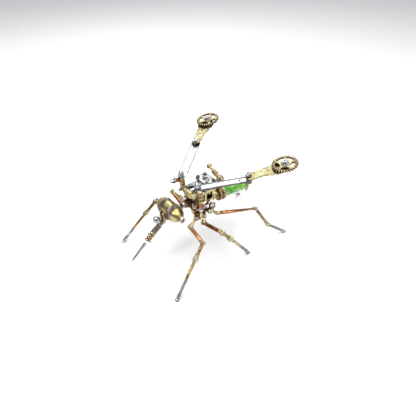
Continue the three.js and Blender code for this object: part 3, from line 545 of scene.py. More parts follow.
def eye(part, o, u, hx, mat, reach=3.3, half=1.3):
    M = basis(o, u, hx) @ LOCAL
    pts = arc2(0, 0, EAR_R, pi, 2 * pi, 20) + [(half, reach), (-half, reach)]
    part.plate(pts, -EYE_T / 2, EYE_T / 2, mat, M=M, holes=[circle(0, 0, 0.98, 20)], c=0.18)
    for s in (1, -1):      # raised rim round the pin
        part.turn([(0.98, 0.62), (1.62, 0.62), (1.62, 0.88), (1.45, 0.92), (1.0, 0.92)], mat, o, Vector(hx) * s, u, 28, soft=0.03)


def fork(part, o, u, hx, mat, nut="steel", head="pale_brass"):
    M = basis(o, u, hx) @ LOCAL
    hx = Vector(hx)
    hx = (hx - Vector(u).normalized() * hx.dot(Vector(u).normalized())).normalized()
    for s in (-1, 1):
        pts = arc2(0, 0, EAR_R, 0, pi, 20) + [(-1.45, -3.1), (1.45, -3.1)]
        part.plate(pts, s * EAR_X - EAR_T / 2, s * EAR_X + EAR_T / 2, mat, M=M, c=0.16)
    part.bar(-2.0, 2.0, -1.5, 1.5, -3.4, -2.45, mat, c=0.3, M=basis(o, u, hx))
    part.rod(Vector(o) - hx * 1.9, Vector(o) + hx * 1.9, PIN_R, "steel", soft=0)
    part.cap(Vector(o) + hx * 2.0, hx, 1.35, 0.85, head, "hex")
    part.nut(Vector(o) - hx * 2.0, -hx, 1.45, 0.8, nut, bore=0.55)
    part.turn([(0, 0), (0.6, 0), (0.6, 0.95), (0.45, 1.1), (0, 1.1)], "steel", Vector(o) - hx * 2.0, -hx, None, 20, soft=0.05)


# ------------------------------------------------------------------ legs
LEGS = {
    "lf": ((12, -19.6, 46), (15, -28.6, 42), (36.5, -29.7, 38), (40.8, -41.8, 27.0), (50.9, -70.1, 1.4), 1),
    "lm": ((13.8, -10.9, 46), (17.8, -14.6, 42.6), (42.3, -11.4, 44.7), (42.1, -0.5, 31.6), (42.2, 23.4, 1.4), 1),
    "lh": ((11.5, -1.4, 46), (14.2, 4.9, 43.4), (23.5, 47.6, 35), (33.6, 57.8, 15.2), (40.7, 77.0, 1.4), 1),
    "rf": ((-12, -19.6, 46), (-15, -28.6, 42), (-37, -35.3, 45.5), (-41.2, -45.8, 32.3), (-50.8, -70.2, 1.4), -1),
    "rm": ((-13.8, -10.9, 46), (-17.8, -14.6, 42.6), (-42.3, -11.4, 44.7), (-42.1, -0.5, 31.6), (-42.2, 23.4, 1.4), -1),
    "rh": ((-11.5, -1.4, 46), (-14.2, 4.9, 43.4), (-28.0, 43.5, 33.0), (-36.4, 62.8, 16.2), (-43.6, 84.2, 1.4), -1),
}
TONES = {      # femur, tibia, tarsus
    "f": ("copper", "bronze", "bronze"),
    "m": ("copper", "olive_brass", "olive_brass"),
    "h": ("copper", "olive_brass", "gunmetal"),
}
for key, (hip, k1, k2, an, ft, side) in LEGS.items():
    hip, k1, k2, an, ft = (Vector(p) for p in (hip, k1, k2, an, ft))
    flat = V(k1.x - hip.x, k1.y - hip.y, 0).normalized()
    root = hip + flat * 2.9
    root.z = 46 - 0.45
    dc, df, dt, ds = ((b - a).normalized() for a, b in ((root, k1), (k1, k2), (k2, an), (an, ft)))
    h1, h2 = dc.cross(df).normalized(), df.cross(dt).normalized()
    h3 = dt.cross(ds)
    h3 = (h2 - dt * h2.dot(dt)).normalized() if h3.length < 0.08 else h3.normalized()
    h3t = (h3 - dt * h3.dot(dt)).normalized()
    h3s = (h3 - ds * h3.dot(ds)).normalized()
    rear = key[1] == "h"
    mf, mt, ms = TONES[key[1]]
    front = key[1] == "f"

    p = Part("leg_coxa_" + key, "coxa_" + key, "coxa_" + key, slot="brass")
    eye(p, hip, flat, V(0, 0, 1), "brass")
    Lc = (k1 - root).length
    p.ball(root, 1.25, "brass", 28, 16)
    a, b = root, root + dc * max(Lc - 2.8, 0.6)
    L = (b - a).length
    p.turn([(0, 0), (1.15, 0), (1.3, L * 0.25), (1.3, L * 0.4), (1.55, L * 0.45), (1.55, L * 0.75), (1.3, L * 0.8), (1.3, L), (0, L)], "brass", a, dc, None, 32)
    fork(p, k1, dc, h1, "pale_brass")
    p.done()

    L = (k2 - k1).length
    z1 = L - 2.9
    p = Part("leg_femur_" + key, "femur_" + key, "femur_" + key, slot="copper")
    eye(p, k1, df, h1, "copper")
    if rear:      # long smooth taper with a collar at each end
        p.turn([(0, 2.9), (1.5, 2.9), (1.9, 3.6), (1.9, 5.0), (1.6, 5.3), (1.6, 5.8), (1.88, 6.2), (1.8, 3 + (L - 6) * 0.35), (1.25, z1 - 4.2), (1.15, z1 - 4.0), (1.15, z1 - 3.4), (1.45, z1 - 3.2), (1.45, z1 - 2.2), (1.15, z1 - 2.0), (1.15, z1), (0, z1)], mf, k1, df, h1, 40)
        p.turn([(1.5, 0), (1.98, 0.1), (1.98, 0.9), (1.5, 1.0)], "pale_brass", k1 + df * 6.0, df, None, 36, soft=0.08)
    else:
        # rolled copper tube: collars, three grooves, one long flat seam
        n = 4
        pr = [(0, 2.9), (2.0, 2.9), (2.0, 3.9)]
        for i in range(1, n):
            a = 2.9 + (z1 - 2.9) * i / n
            pr += [(2.0, a - 0.42), (1.7, a - 0.3), (1.7, a + 0.3), (2.0, a + 0.42)]
        pr += [(2.0, z1), (0, z1)]
        p.turn(pr, mf, k1, df, h1, 48, soft=0.1, mod=lambda a, r, h: min(r, 1.74 / max(abs(math.cos(a)), 1e-3)) if r > 1.7 else r)
        for s in (3.3, z1 - 1.1):
            p.turn([(1.7, 0), (2.14, 0.08), (2.14, 0.72), (1.7, 0.8)], "pale_brass", k1 + df * s, df, None, 40, soft=0.07)
    fork(p, k2, df, h2, "copper" if front else "brass")
    p.done()

    L = (an - k2).length
    z1 = L - 2.9
    p = Part("leg_tibia_" + key, "tibia_" + key, "tibia_" + key, slot="bronze")
    eye(p, k2, dt, h2, mt)
    pr = [(0, 2.9), (1.75, 2.9), (1.75, 3.8), (1.5, 4.0), (1.5, 4.4), (1.75, 4.6)]
    if z1 - 1.6 > 7.5:
        mid = (4.6 + z1 - 1.6) / 2
        pr += [(1.75, mid - 1.3), (1.45, mid - 1.1), (1.45, mid + 1.1), (1.75, mid + 1.3)]
    pr += [(1.75, z1 - 1.7), (0, z1 - 1.7)]
    p.turn(pr, mt, k2, dt, h2, 40)
    # winged collar in front of the ankle
    p.turn([(0, z1 - 1.8), (2.2, z1 - 1.7), (2.2, z1 - 0.9), (1.9, z1 - 0.75), (1.9, z1 - 0.5), (2.2, z1 - 0.35), (2.2, z1 + 0.2), (0, z1 + 0.2)], "pale_brass", k2, dt, h2, 40, soft=0.1)
    for s in (1, -1):
        p.rod(k2 + dt * (z1 - 1.1) + h3t * s * 1.9, k2 + dt * (z1 - 1.1) + h3t * s * 2.75, 0.66, "pale_brass", seg=20)
    fork(p, an, dt, h3t, "brass")
    p.done()

    L = (ft - an).length
    tip = L * 0.56
    p = Part("leg_tarsus_" + key, "tarsus_" + key, "tarsus_" + key, slot="olive_brass")
    eye(p, an, ds, h3s, "brass")
    p.turn([(0, 2.9), (1.5, 2.9), (1.5, 4.0), (1.22, 4.2), (1.22, 4.7), (1.5, 4.9), (1.45, tip - 3.2), (1.18, tip - 3.0), (1.18, tip - 2.6), (1.5, tip - 2.4), (1.5, tip - 0.2), (0, tip - 0.2)], ms, an, ds, h3s, 36, soft=0.1)
    p.turn([(0, 0), (1.55, 0), (1.72, 0.15), (1.72, 1.0), (1.55, 1.15), (0, 1.15)], "gunmetal", an + ds * (tip - 1.1), ds, h3s, 36, soft=0.05)
    p.thread(an + ds * (tip - 0.1), ft - ds * 4.4, 1.58, "tip_steel", pitch=0.95, depth=0.3, seg=36)
    p.nut(an + ds * (L - 4.6), ds, 2.0, 1.4, "steel", bore=0.6)
    p.thread(an + ds * (L - 3.3), ft - ds * 0.2, 1.1, "gunmetal", pitch=0.7, depth=0.18)
    p.nut(an + ds * (L - 2.5), ds, 1.75, 0.9, "gunmetal", bore=0.6)
    # foot: turned steel washer with a rounded top
    p.turn([(0, -1.4), (1.5, -1.4), (2.04, -1.05), (2.1, -0.85), (2.1, -0.25), (1.9, -0.02), (1.25, 0.45), (1.1, 0.85), (0, 1.1)], "steel", ft, V(0, 0, 1), None, 40, soft=0.06)
    p.done()

# ------------------------------------------------------------------ wings
X3, Y3, Z3 = V(1, 0, 0), V(0, 1, 0), V(0, 0, 1)
WING_ROOT, WING_ELBOW = V(13.4, -17.8, 82.5), V(41.3, 18.7, 92.4)
BRACKET_A, BRACKET_B = V(41.3, 18.7, 95.0), V(57.0, 47.3, 102.6)


def across(a, d):
    return (a - d * a.dot(d)).normalized()


def mir(v, s):
    return V(v.x * s, v.y, v.z)


sd0 = (WING_ELBOW - WING_ROOT).normalized()
bd0 = (BRACKET_B - BRACKET_A).normalized()
sn0 = across(Z3, sd0)
bn0 = across(Z3, bd0)
bn0 = (bn0 * math.cos(math.radians(6)) + bd0.cross(bn0) * math.sin(math.radians(6))).normalized()


def rounded(pts, r=0.6, n=4):
    """Rounds the corners of an outline with small arcs."""
    out = []
    k = len(pts)
    for i in range(k):
        a, q, b = Vector(pts[i - 1]), Vector(pts[i]), Vector(pts[(i + 1) % k])
        d0, d1 = (a - q), (b - q)
        e = min(r, d0.length * 0.42, d1.length * 0.42)
        p0, p1 = q + d0.normalized() * e, q + d1.normalized() * e
        for j in range(n + 1):
            t = j / n
            w = p0 * (1 - t) ** 2 + q * 2 * t * (1 - t) + p1 * t * t
            out.append((w.x, w.y))
    return out


def inset(pts, d):
    """Moves a closed outline inwards by d."""
    k = len(pts)
    area2 = sum(pts[i - 1][0] * pts[i][1] - pts[i][0] * pts[i - 1][1] for i in range(k))
    sg = 1.0 if area2 > 0 else -1.0
    out = []
    for i in range(k):
        a, b = Vector(pts[i - 1]), Vector(pts[(i + 1) % k])
        t = b - a
        if t.length < 1e-9:
            out.append(tuple(pts[i]))
            continue
        t.normalize()
        out.append((pts[i][0] - sg * t.y * d, pts[i][1] + sg * t.x * d))
    return out


for side, s in (("left", 1), ("right", -1)):
    W, J = mir(WING_ROOT, s), mir(WING_ELBOW, s)
    n1, n2, d1, d2 = (mir(v, s) for v in (sn0, bn0, sd0, bd0))
    G = mir(BRACKET_B, s) + n2 * 2.4
    Ls = (J - W).length

    # polished strip with a soft-edged stamped outline, its screw, spacer and nut at the elbow
    p = Part("wing_strip_plate_" + side, "strip_" + side, "wing_strip_" + side, slot="polished_steel")
    a, b = 3.6, -5.2
    sp = [(-3.2, -2.6), (-1.6, b + 0.6), (1.5, b), (Ls + 1.6, b), (Ls + 3.4, b + 1.8), (Ls + 3.4, a - 1.4), (Ls + 2, a), (-2.0, a), (-3.2, 2.4)]
    p.plate(rounded(sp, 0.9), -0.5, 0.5, "strip_steel", W, n1, d1, holes=[circle(0, 0, 1.5, 28), circle(Ls - 8.5, -0.8, 0.9, 24)], c=0.16, side="edge_steel")
    # thin bands on both faces: the black lines along the two long edges are painted edge shade
    for y0, y1, m in ((b + 0.06, b + 0.62, "black_steel"), (a - 0.62, a - 0.06, "black_steel"), (b + 1.3, b + 1.8, "strip_steel"), (a - 1.8, a - 1.3, "edge_steel")):
        p.plate(rounded([(2.2, y0), (Ls + 0.8, y0), (Ls + 0.8, y1), (2.2, y1)], 0.12), 0.44, 0.7, m, W, n1, d1, c=0.06)
        p.plate(rounded([(2.2, y0), (Ls + 0.8, y0), (Ls + 0.8, y1), (2.2, y1)], 0.12), -0.7, -0.44, m, W, n1, d1, c=0.06)
    p.turn([(1.6, 0.5), (2.7, 0.5), (2.7, 0.85), (1.6, 0.95)], "steel", W, n1, d1, 36, soft=0.06)
    p.rod(J - n1 * 4.4, J + n1 * 4.4, 1.1, "steel", seg=28)
    p.turn([(0, -2.75), (1.9, -2.75), (2.15, -2.5), (1.8, -1.9), (1.8, -1.2), (2.2, -0.6), (0, -0.55)], "copper", J, n1, d1, 36, soft=0.08)
    p.nut(J - n1 * 2.8, -n1, 2.3, 2.0, "black_steel", bore=1.05, x=d1)
    p.thread(J - n1 * 4.2, J - n1 * 5.3, 1.05, "gunmetal", pitch=0.5, depth=0.14)
    p.turn([(1.1, 0.5), (2.4, 0.55), (2.4, 1.35), (1.1, 1.4)], "pale_brass", J, n1, d1, 36, soft=0.1)
    p.turn([(1.1, 3.6), (2.75, 3.62), (2.75, 3.86), (1.1, 3.9)], "steel", J, n1, d1, 36, soft=0.05)
    p.cap(J, n1, 2.35, 2.3, "steel", "hex", x=d1, z0=3.9)
    p.rod(W + d1 * (Ls - 8.5) + n1 * -0.9 + n1.cross(d1) * -0.8, W + d1 * (Ls - 8.5) + n1 * 1.1 + n1.cross(d1) * -0.8, 0.85, "gunmetal", seg=24)
    p.cap(W + d1 * (Ls + 0.4) + n1.cross(d1) * (b + 1.2), n1, 0.8, 0.8, "black_steel", "dome", z0=0.45, seg=24)
    p.done()

    # stamped brass bracket
    p = Part("wing_bracket_plate_" + side, "bracket_" + side, "wing_bracket_" + side, slot="brass")
    Jb, Gb = mir(BRACKET_A, s) - n2 * 0.65, mir(BRACKET_B, s) - n2 * 0.65
    db = (Gb - Jb).normalized()
    nb = across(n2, db)
    Lb = (Gb - Jb).length
    bp = [(-3.4, -1.6), (-2.6, -3.6), (-0.6, -5.4), (2.5, -6.2), (7, -5.7), (12, -5.0), (16, -5.5), (19.5, -7.4), (21.2, -7.3), (22.4, -6.4), (24.4, -8.2), (29, -8.0), (Lb + 1, -5.4), (Lb + 3.4, -2.6),
          (Lb + 3.4, 2.6), (Lb + 1, 5.4), (29, 8.0), (24.4, 8.0), (20, 5.4), (12, 4.3), (4, 3.9), (-1.2, 3.4), (-3.0, 1.8)]
    dh = [(8.2, -2.4), (10.6, -2.6), (12.4, -1.6), (12.8, -0.2), (12.0, 1.3), (9.6, 1.7)]
    p.plate(rounded(bp, 1.0), 0, 1.3, "wing_brass", Jb, nb, db, holes=[rounded(dh, 0.7), circle(17.2, -0.4, 0.9, 24), circle(0, 0, 1.75, 32), circle(Lb, 0, 1.3, 28), circle(5.2, 1.6, 0.5, 16)], c=0.22, side="deep_olive")
    B = basis(Jb, nb, db)
    # raised lip round the window and a darkened line along the outer edge
    ro = rounded(bp, 1.0)
    p.plate(inset(ro, 0.12), 1.26, 1.42, "deep_olive", M=B, holes=[inset(ro, 0.55)], c=0.04)
    p.plate(rounded([(8.2 + (x - 10.4) * 0.28 - 0.0 + (x - 8.2), y * 1.28) for x, y in dh], 0.8), 1.28, 1.46, "brass", M=B, holes=[rounded(dh, 0.7)], c=0.06)
    for x, y, r in ((16.8, 3.9, 0.95), (19.9, -6.1, 0.95), (2.4, -4.7, 0.95), (24.2, 3.6, 0.6), (24.2, -3.6, 0.6)):
        p.cap(B @ V(x, y, 1.25), nb, r, 0.6, "gunmetal" if r > 0.9 else "brass", "dome", z0=0, seg=24)
    p.rod(G - n2 * 4.4, G + n2 * 2.4, 1.1, "steel", seg=28)
    p.nut(G - n2 * 3.3, -n2, 2.2, 1.7, "gunmetal", bore=1.05, x=d2)
    p.turn([(1.15, -1.75), (2.6, -1.75), (2.6, -1.5), (1.15, -1.45)], "steel", G, n2, d2, 32, soft=0.05)
    p.cap(G, n2, 2.0, 1.9, "steel", "hex", x=d2, z0=2.35)
    p.turn([(1.15, 1.85), (2.75, 1.87), (2.75, 2.2), (1.15, 2.25)], "gunmetal", G, n2, d2, 32, soft=0.05)
    p.done()

    # ring gear: cut teeth, five curved windows, raised rings and hub
    p = Part("wing_ring_gear_" + side, "gear_" + side, "wing_gear_" + side, slot="brass")
    teeth = 28
    out = []
    for i in range(teeth):
        for k, r in ((-0.06, 9.85), (0.14, 9.85), (0.25, 10.3), (0.31, 11.3), (0.38, 11.9), (0.5, 12.0), (0.62, 11.9), (0.69, 11.3), (0.75, 10.3), (0.86, 9.85)):
            t = 2 * pi * (i + k) / teeth
            out.append((r * math.cos(t), r * math.sin(t)))
    wins = []
    for i in range(5):
        a0 = 2 * pi * (i + 0.5) / 5
        w = [(8.8 * math.cos(a0 + t), 8.8 * math.sin(a0 + t)) for t in np.linspace(-0.46, 0.46, 9)]
        w += [(6.3 * math.cos(a0 + 0.44), 6.3 * math.sin(a0 + 0.44))]
        w += [((5.45 - 0.5 * math.cos(t * 5)) * math.cos(a0 + t), (5.45 - 0.5 * math.cos(t * 5)) * math.sin(a0 + t)) for t in np.linspace(0.3, -0.3, 7)]
        w += [(6.3 * math.cos(a0 - 0.44), 6.3 * math.sin(a0 - 0.44))]
        wins.append(rounded(w, 0.5, 3))
    p.plate(out, -0.95, 0.95, "wing_brass", G, n2, d2, holes=wins + [circle(0, 0, 1.55, 28)], c=0.2, side="dark_bronze")
    for sgn in (1, -1):
        p.turn([(9.0, 0.85), (9.0, 1.1), (9.2, 1.16), (9.45, 1.1), (9.45, 0.85)], "deep_olive", G, n2 * sgn, d2, 96, soft=0.05)
        for i in range(5):
            t = 2 * pi * i / 5
            q = G + (d2 * math.cos(t) + n2.cross(d2) * math.sin(t)) * 7.4
            p.cap(q, n2 * sgn, 0.55, 0.35, "brass", "dome", z0=0.9, seg=16)
    p.turn([(1.55, -1.4), (3.3, -1.4), (3.6, -1.15), (3.6, 0.9), (3.6, 1.2), (3.1, 1.45), (2.7, 1.45), (2.5, 1.7), (1.55, 1.7)], "gunmetal", G, n2, d2, 48, soft=0.08)
    for i in range(4):
        t = pi / 4 + i * pi / 2
        q = G + (d2 * math.cos(t) + n2.cross(d2) * math.sin(t)) * 4.35
        p.cap(q, n2, 0.45, 0.3, "gunmetal", "dome", z0=0.9, seg=16)
    p.done()

    # copper column with its hexagon, pin and forward stub
    p = Part("wing_column_" + side, "thorax", "wing_mount_" + side, slot="copper")
    foot = W - n1 * 16.5
    p.turn([(0, 0), (2.5, 0), (2.8, 0.35), (2.8, 2.4), (2.35, 2.7), (2.35, 3.3), (2.8, 3.6), (2.8, 6.6), (2.5, 6.8), (2.5, 7.2), (2.8, 7.4), (2.8, 9.6), (2.35, 9.9), (2.35, 10.4), (2.8, 10.7), (2.8, 12.25), (0, 12.25)], "bronze" if s > 0 else "copper", foot, n1, d1, 44, soft=0.12)
    for h in (0.9, 4.6, 8.2, 11.2):
        p.turn([(2.5, h - 0.4), (2.86, h - 0.36), (2.86, h + 0.36), (2.5, h + 0.4)], "pale_brass" if s > 0 else "brass", foot, n1, d1, 40, soft=0.06)
    p.nut(W - n1 * 4.4, n1, 3.5, 2.2, "pale_brass", x=d1)
    p.turn([(1.2, 0), (3.1, 0.02), (3.1, 0.5), (2.9, 0.7), (1.2, 0.75)], "steel", W - n1 * 2.2, n1, d1, 40, soft=0.06)
    p.turn([(1.2, 0), (2.5, 0.02), (2.5, 0.5), (1.2, 0.55)], "copper", W - n1 * 1.42, n1, d1, 40, soft=0.06)
    p.thread(W - n1 * 1.5, W + n1 * 3.2, 1.2, "steel", pitch=0.6, depth=0.12)
    x0, x1 = (8.9, 18.4) if s > 0 else (-18.4, -8.9)
    p.bar(x0, x1, -15.9, -11.5, 65.2, 68.0, "pale_brass", c=0.5)
    p.cap(V(s * 10.9, -13.7, 68.0), Z3, 1.3, 0.9, "steel", "hex", seg=32)
    p.cap(V(s * 10.9, -13.7, 65.2), -Z3, 1.3, 0.8, "steel", "slot", seg=32)
    sa = W - n1 * 6.5
    sb = V(s * 15.7, -28.4, 79.4)
    sdir = (sb - sa).normalized()
    Lst = (sb - sa).length
    p.turn([(0, 0), (2.0, 0), (2.0, Lst * 0.28), (1.7, Lst * 0.3), (1.7, Lst * 0.34), (2.0, Lst * 0.36), (2.0, Lst * 0.58), (1.7, Lst * 0.6), (1.7, Lst * 0.64), (2.1, Lst * 0.66), (2.1, Lst * 0.7), (0, Lst * 0.7)], "bronze" if s > 0 else "copper", sa, sdir, n1, 36)
    p.nut(sa + sdir * Lst * 0.7, sdir, 3.0, Lst * 0.3, "brass" if s > 0 else "steel", x=n1)
    p.turn([(2.0, -0.5), (3.1, -0.45), (3.1, 0.0), (2.0, 0.02)], "steel", sa + sdir * Lst * 0.7, sdir, n1, 36, soft=0.05)
    p.done()
    p = Part("wing_dome_nut_" + side, "thorax", "wing_nut_" + side, slot="polished_steel")
    p.turn([(1.5, 1.0), (3.3, 1.0), (3.3, 1.3), (1.5, 1.34)], "steel", W, n1, d1, 40, soft=0.05)
    p.nut(W + n1 * 1.3, n1, 3.1, 1.8, "steel", x=d1, dome=2.2)
    p.done()

# ------------------------------------------------------------------ thorax
PW = "hip_plate"
p = Part("thorax_hip_plate", "thorax", PW, slot="brass")
HT = 47.1
C0 = V(0, -7.6, 0)
hips = [Vector(v[0]) for v in LEGS.values()]
p.plate([(8.4 * math.cos(t), 8.4 * math.sin(t) - 7.6) for t in np.linspace(0, 2 * pi, 72, endpoint=False)], HT, HT + 1.3, "brass", holes=[circle(0, -7.6, 1.75, 32)], c=0.2)
for h in hips:
    d = V(h.x, h.y + 7.6, 0)
    L = d.length
    d.normalize()
    M = basis(V(0, -7.6, 0), Z3, d)
    p.plate(rounded([(6.4, -2.2), (L + 1, -2.2), (L + 2.2, -1.1), (L + 2.2, 1.1), (L + 1, 2.2), (6.4, 2.2)], 0.5), HT + 0.02, HT + 1.28, "pale_brass", M=M, c=0.2, holes=[circle(L - 4.0, 0, 0.55, 18)])
    p.rod(V(h.x, h.y, HT + 0.4), V(h.x, h.y, 44.1), PIN_R, "steel", soft=0)
    p.cap(V(h.x, h.y, 44.9), -Z3, 1.6, 0.8, "steel", "hex", seg=30)
    p.turn([(0.6, 0), (2.0, 0.02), (2.0, 0.3), (0.6, 0.34)], "steel", V(h.x, h.y, HT + 1.3), Z3, None, 32, soft=0.05)
    p.cap(V(h.x, h.y, HT + 1.62), Z3, 1.55, 1.3, "pale_brass", "hex", seg=30)
for s in (-1, 1):
    q = V(s * 12.6, -14.0, 0)
    p.nut(q + Z3 * HT, Z3, 2.2, 4.2, "brass")
    p.turn([(0, 51.2), (1.75, 51.2), (1.75, 52.0), (1.45, 52.2), (1.45, 52.8), (1.75, 53.0), (1.75, 54.5), (0, 54.5)], "copper", q, Z3, None, 36)
    p.nut(q + Z3 * 54.5, Z3, 2.75, 2.4, "steel")
    p.turn([(0, 56.9), (1.9, 56.9), (1.9, 58.2), (1.6, 58.4), (1.6, 59.2), (1.9, 59.4), (1.9, 61.6), (1.6, 61.8), (1.6, 62.6), (1.9, 62.8), (1.9, 64.9), (0, 64.9)], "copper", q, Z3, None, 36)
    q = V(s * 11.0, -0.4, 0)
    p.nut(q + Z3 * HT, Z3, 3.1, 3.6, "pale_brass")
    p.turn([(0, 50.7), (2.6, 50.72), (2.6, 51.3), (2.0, 51.5), (2.0, 52.1), (2.6, 52.3), (2.6, 53.0), (0, 53.1)], "copper", q, Z3, None, 36, soft=0.1)
    p.nut(q + Z3 * 53.1, Z3, 2.45, 2.4, "steel", dome=2.3)
p.done()

# hardware round the waist: cap screws, knobs and ring nuts on the cowl
p = Part("thorax_waist_screws", "thorax", slot="brass")
for a, zz, r, h, mat, kind in ((-58, 55.6, 1.9, 2.0, "pale_brass", "hex"), (-20, 52.0, 1.6, 1.7, "steel", "slot"), (-2, 55.4, 2.0, 2.2, "steel", "hex"), (16, 52.0, 1.6, 1.8, "pale_brass", "dome"),
                               (62, 55.4, 1.9, 1.9, "pale_brass", "dome"), (62, 51.4, 1.3, 1.4, "copper", "hex"), (-44, 51.0, 1.4, 1.6, "pale_brass", "dome")):
    for s in (1, -1):
        t = math.radians(a)
        d = V(s * math.cos(t), math.sin(t), 0)
        rr = 9.45 if zz > 54 else 8.3
        o = V(0, -7.6, zz) + d * rr
        p.turn([(0, -0.8), (r * 0.5, -0.8), (r * 0.55, 0.05), (r * 1.12, 0.06), (r * 1.12, 0.36), (0, 0.38)], "gunmetal", o, d, Z3, 30, soft=0.05)
        p.cap(o, d, r, h, mat, kind, z0=0.38, seg=32, x=Z3)
# knobs that stand between the waist and the rear hips
for s in (1, -1):
    q = V(s * 8.9, 4.4, 0)
    p.turn([(0, 48.3), (1.9, 48.32), (2.0, 48.6), (1.3, 49.2), (1.3, 49.9), (1.9, 50.3), (2.2, 51.4), (1.9, 52.5), (1.2, 53.2), (0, 53.4)], "pale_brass", q, Z3, None, 36, soft=0.1)
    q = V(s * 14.1, -5.2, 0)
    p.turn([(0, 48.35), (1.6, 48.37), (1.6, 48.8), (1.05, 49.0), (1.05, 49.6), (1.7, 50.0), (1.95, 51.0), (1.6, 52.0), (0.9, 52.5), (0, 52.6)], "steel", q, Z3, None, 32, soft=0.1)
    p.rod(V(s * 9.6, -6.3, 48.9), V(s * 14.1, -5.2, 48.9), 0.75, "brass", seg=20)
p.done()

p = Part("thorax_cowl_turned", "thorax", "thorax_cowl", slot="red_copper", angle=34)
z0 = 48.7
flute = lambda a, r, h: r - (0.28 * (0.5 - 0.5 * math.cos(20 * a)) if (r > 9.3 and z0 + 5.9 < h < 57.2) or (7.3 < r < 7.7 and h < z0 + 2.7) else 0)
p.turn([(1.9, z0), (6.9, z0), (7.6, z0 + 1.2), (7.6, z0 + 1.9), (7.6, z0 + 2.6), (8.6, z0 + 3.4), (8.6, z0 + 3.9), (8.3, z0 + 4.0), (8.3, z0 + 4.4), (8.6, z0 + 4.5), (8.6, z0 + 4.8), (9.6, z0 + 5.8), (9.6, z0 + 6.1), (9.6, z0 + 8.1), (9.6, 57.3), (8.4, 57.3), (6.4, z0 + 1.4), (1.9, z0 + 1.4)], "red_copper", C0, Z3, None, 120, soft=0.12, mod=flute)
p.turn([(8.5, 57.0), (9.72, 57.0), (9.72, 57.3), (8.5, 57.32)], "copper", C0, Z3, None, 72, soft=0.05)
p.done()

p = Part("thorax_funnel_turned", "thorax", "thorax_funnel", slot="red_copper", angle=34)
fl2 = lambda a, r, h: r - (0.2 * (0.5 - 0.5 * math.cos(24 * a)) if r > 7.4 and 44.1 < h < 46.2 else 0)
p.turn([(1.75, 35.2), (2.4, 35.2), (3.1, 36.2), (3.1, 37.8), (4.2, 38.2), (4.9, 38.6), (4.9, 39.2), (4.65, 39.3), (4.65, 39.6), (4.9, 39.7), (4.9, 40.2), (5.7, 40.5), (6.3, 41.0), (6.3, 42.6), (7.2, 43.0), (7.6, 43.6), (7.6, 44.2), (7.6, 46.0), (7.6, 46.8), (5.2, 46.8), (5.2, 44.4), (1.75, 44.4)], "red_copper", C0, Z3, None, 96, soft=0.12, mod=fl2)
for zz, r in ((37.0, 3.14), (41.8, 6.34)):
    p.turn([(r - 0.5, -0.3), (r + 0.12, -0.24), (r + 0.12, 0.24), (r - 0.5, 0.3)], "copper", C0 + Z3 * zz, Z3, None, 64, soft=0.05)
for i in range(6):
    t = math.radians(30 + 60 * i)
    d = V(math.cos(t), math.sin(t), 0)
    p.cap(C0 + Z3 * 45.2 + d * 7.5, d, 0.8, 0.5, "pale_brass", "dome", seg=20)
p.done()

p = Part("thorax_centre_bolt", "thorax", "centre_bolt", "bolt_nut", slot="polished_steel")
p.thread(C0 + Z3 * 34.9, C0 + Z3 * 63.4, 1.4, "steel", pitch=0.8, depth=0.14)
p.cap(C0 + Z3 * 34.9, -Z3, 2.6, 2.3, "steel", "hex", seg=40)
p.nut(C0 + Z3 * 59.2, Z3, 3.2, 2.6, "steel", bore=1.45)
p.turn([(1.5, 58.92), (3.6, 58.92), (3.6, 59.2), (1.5, 59.2)], "steel", C0, Z3, None, 40, soft=0.05)
p.done()

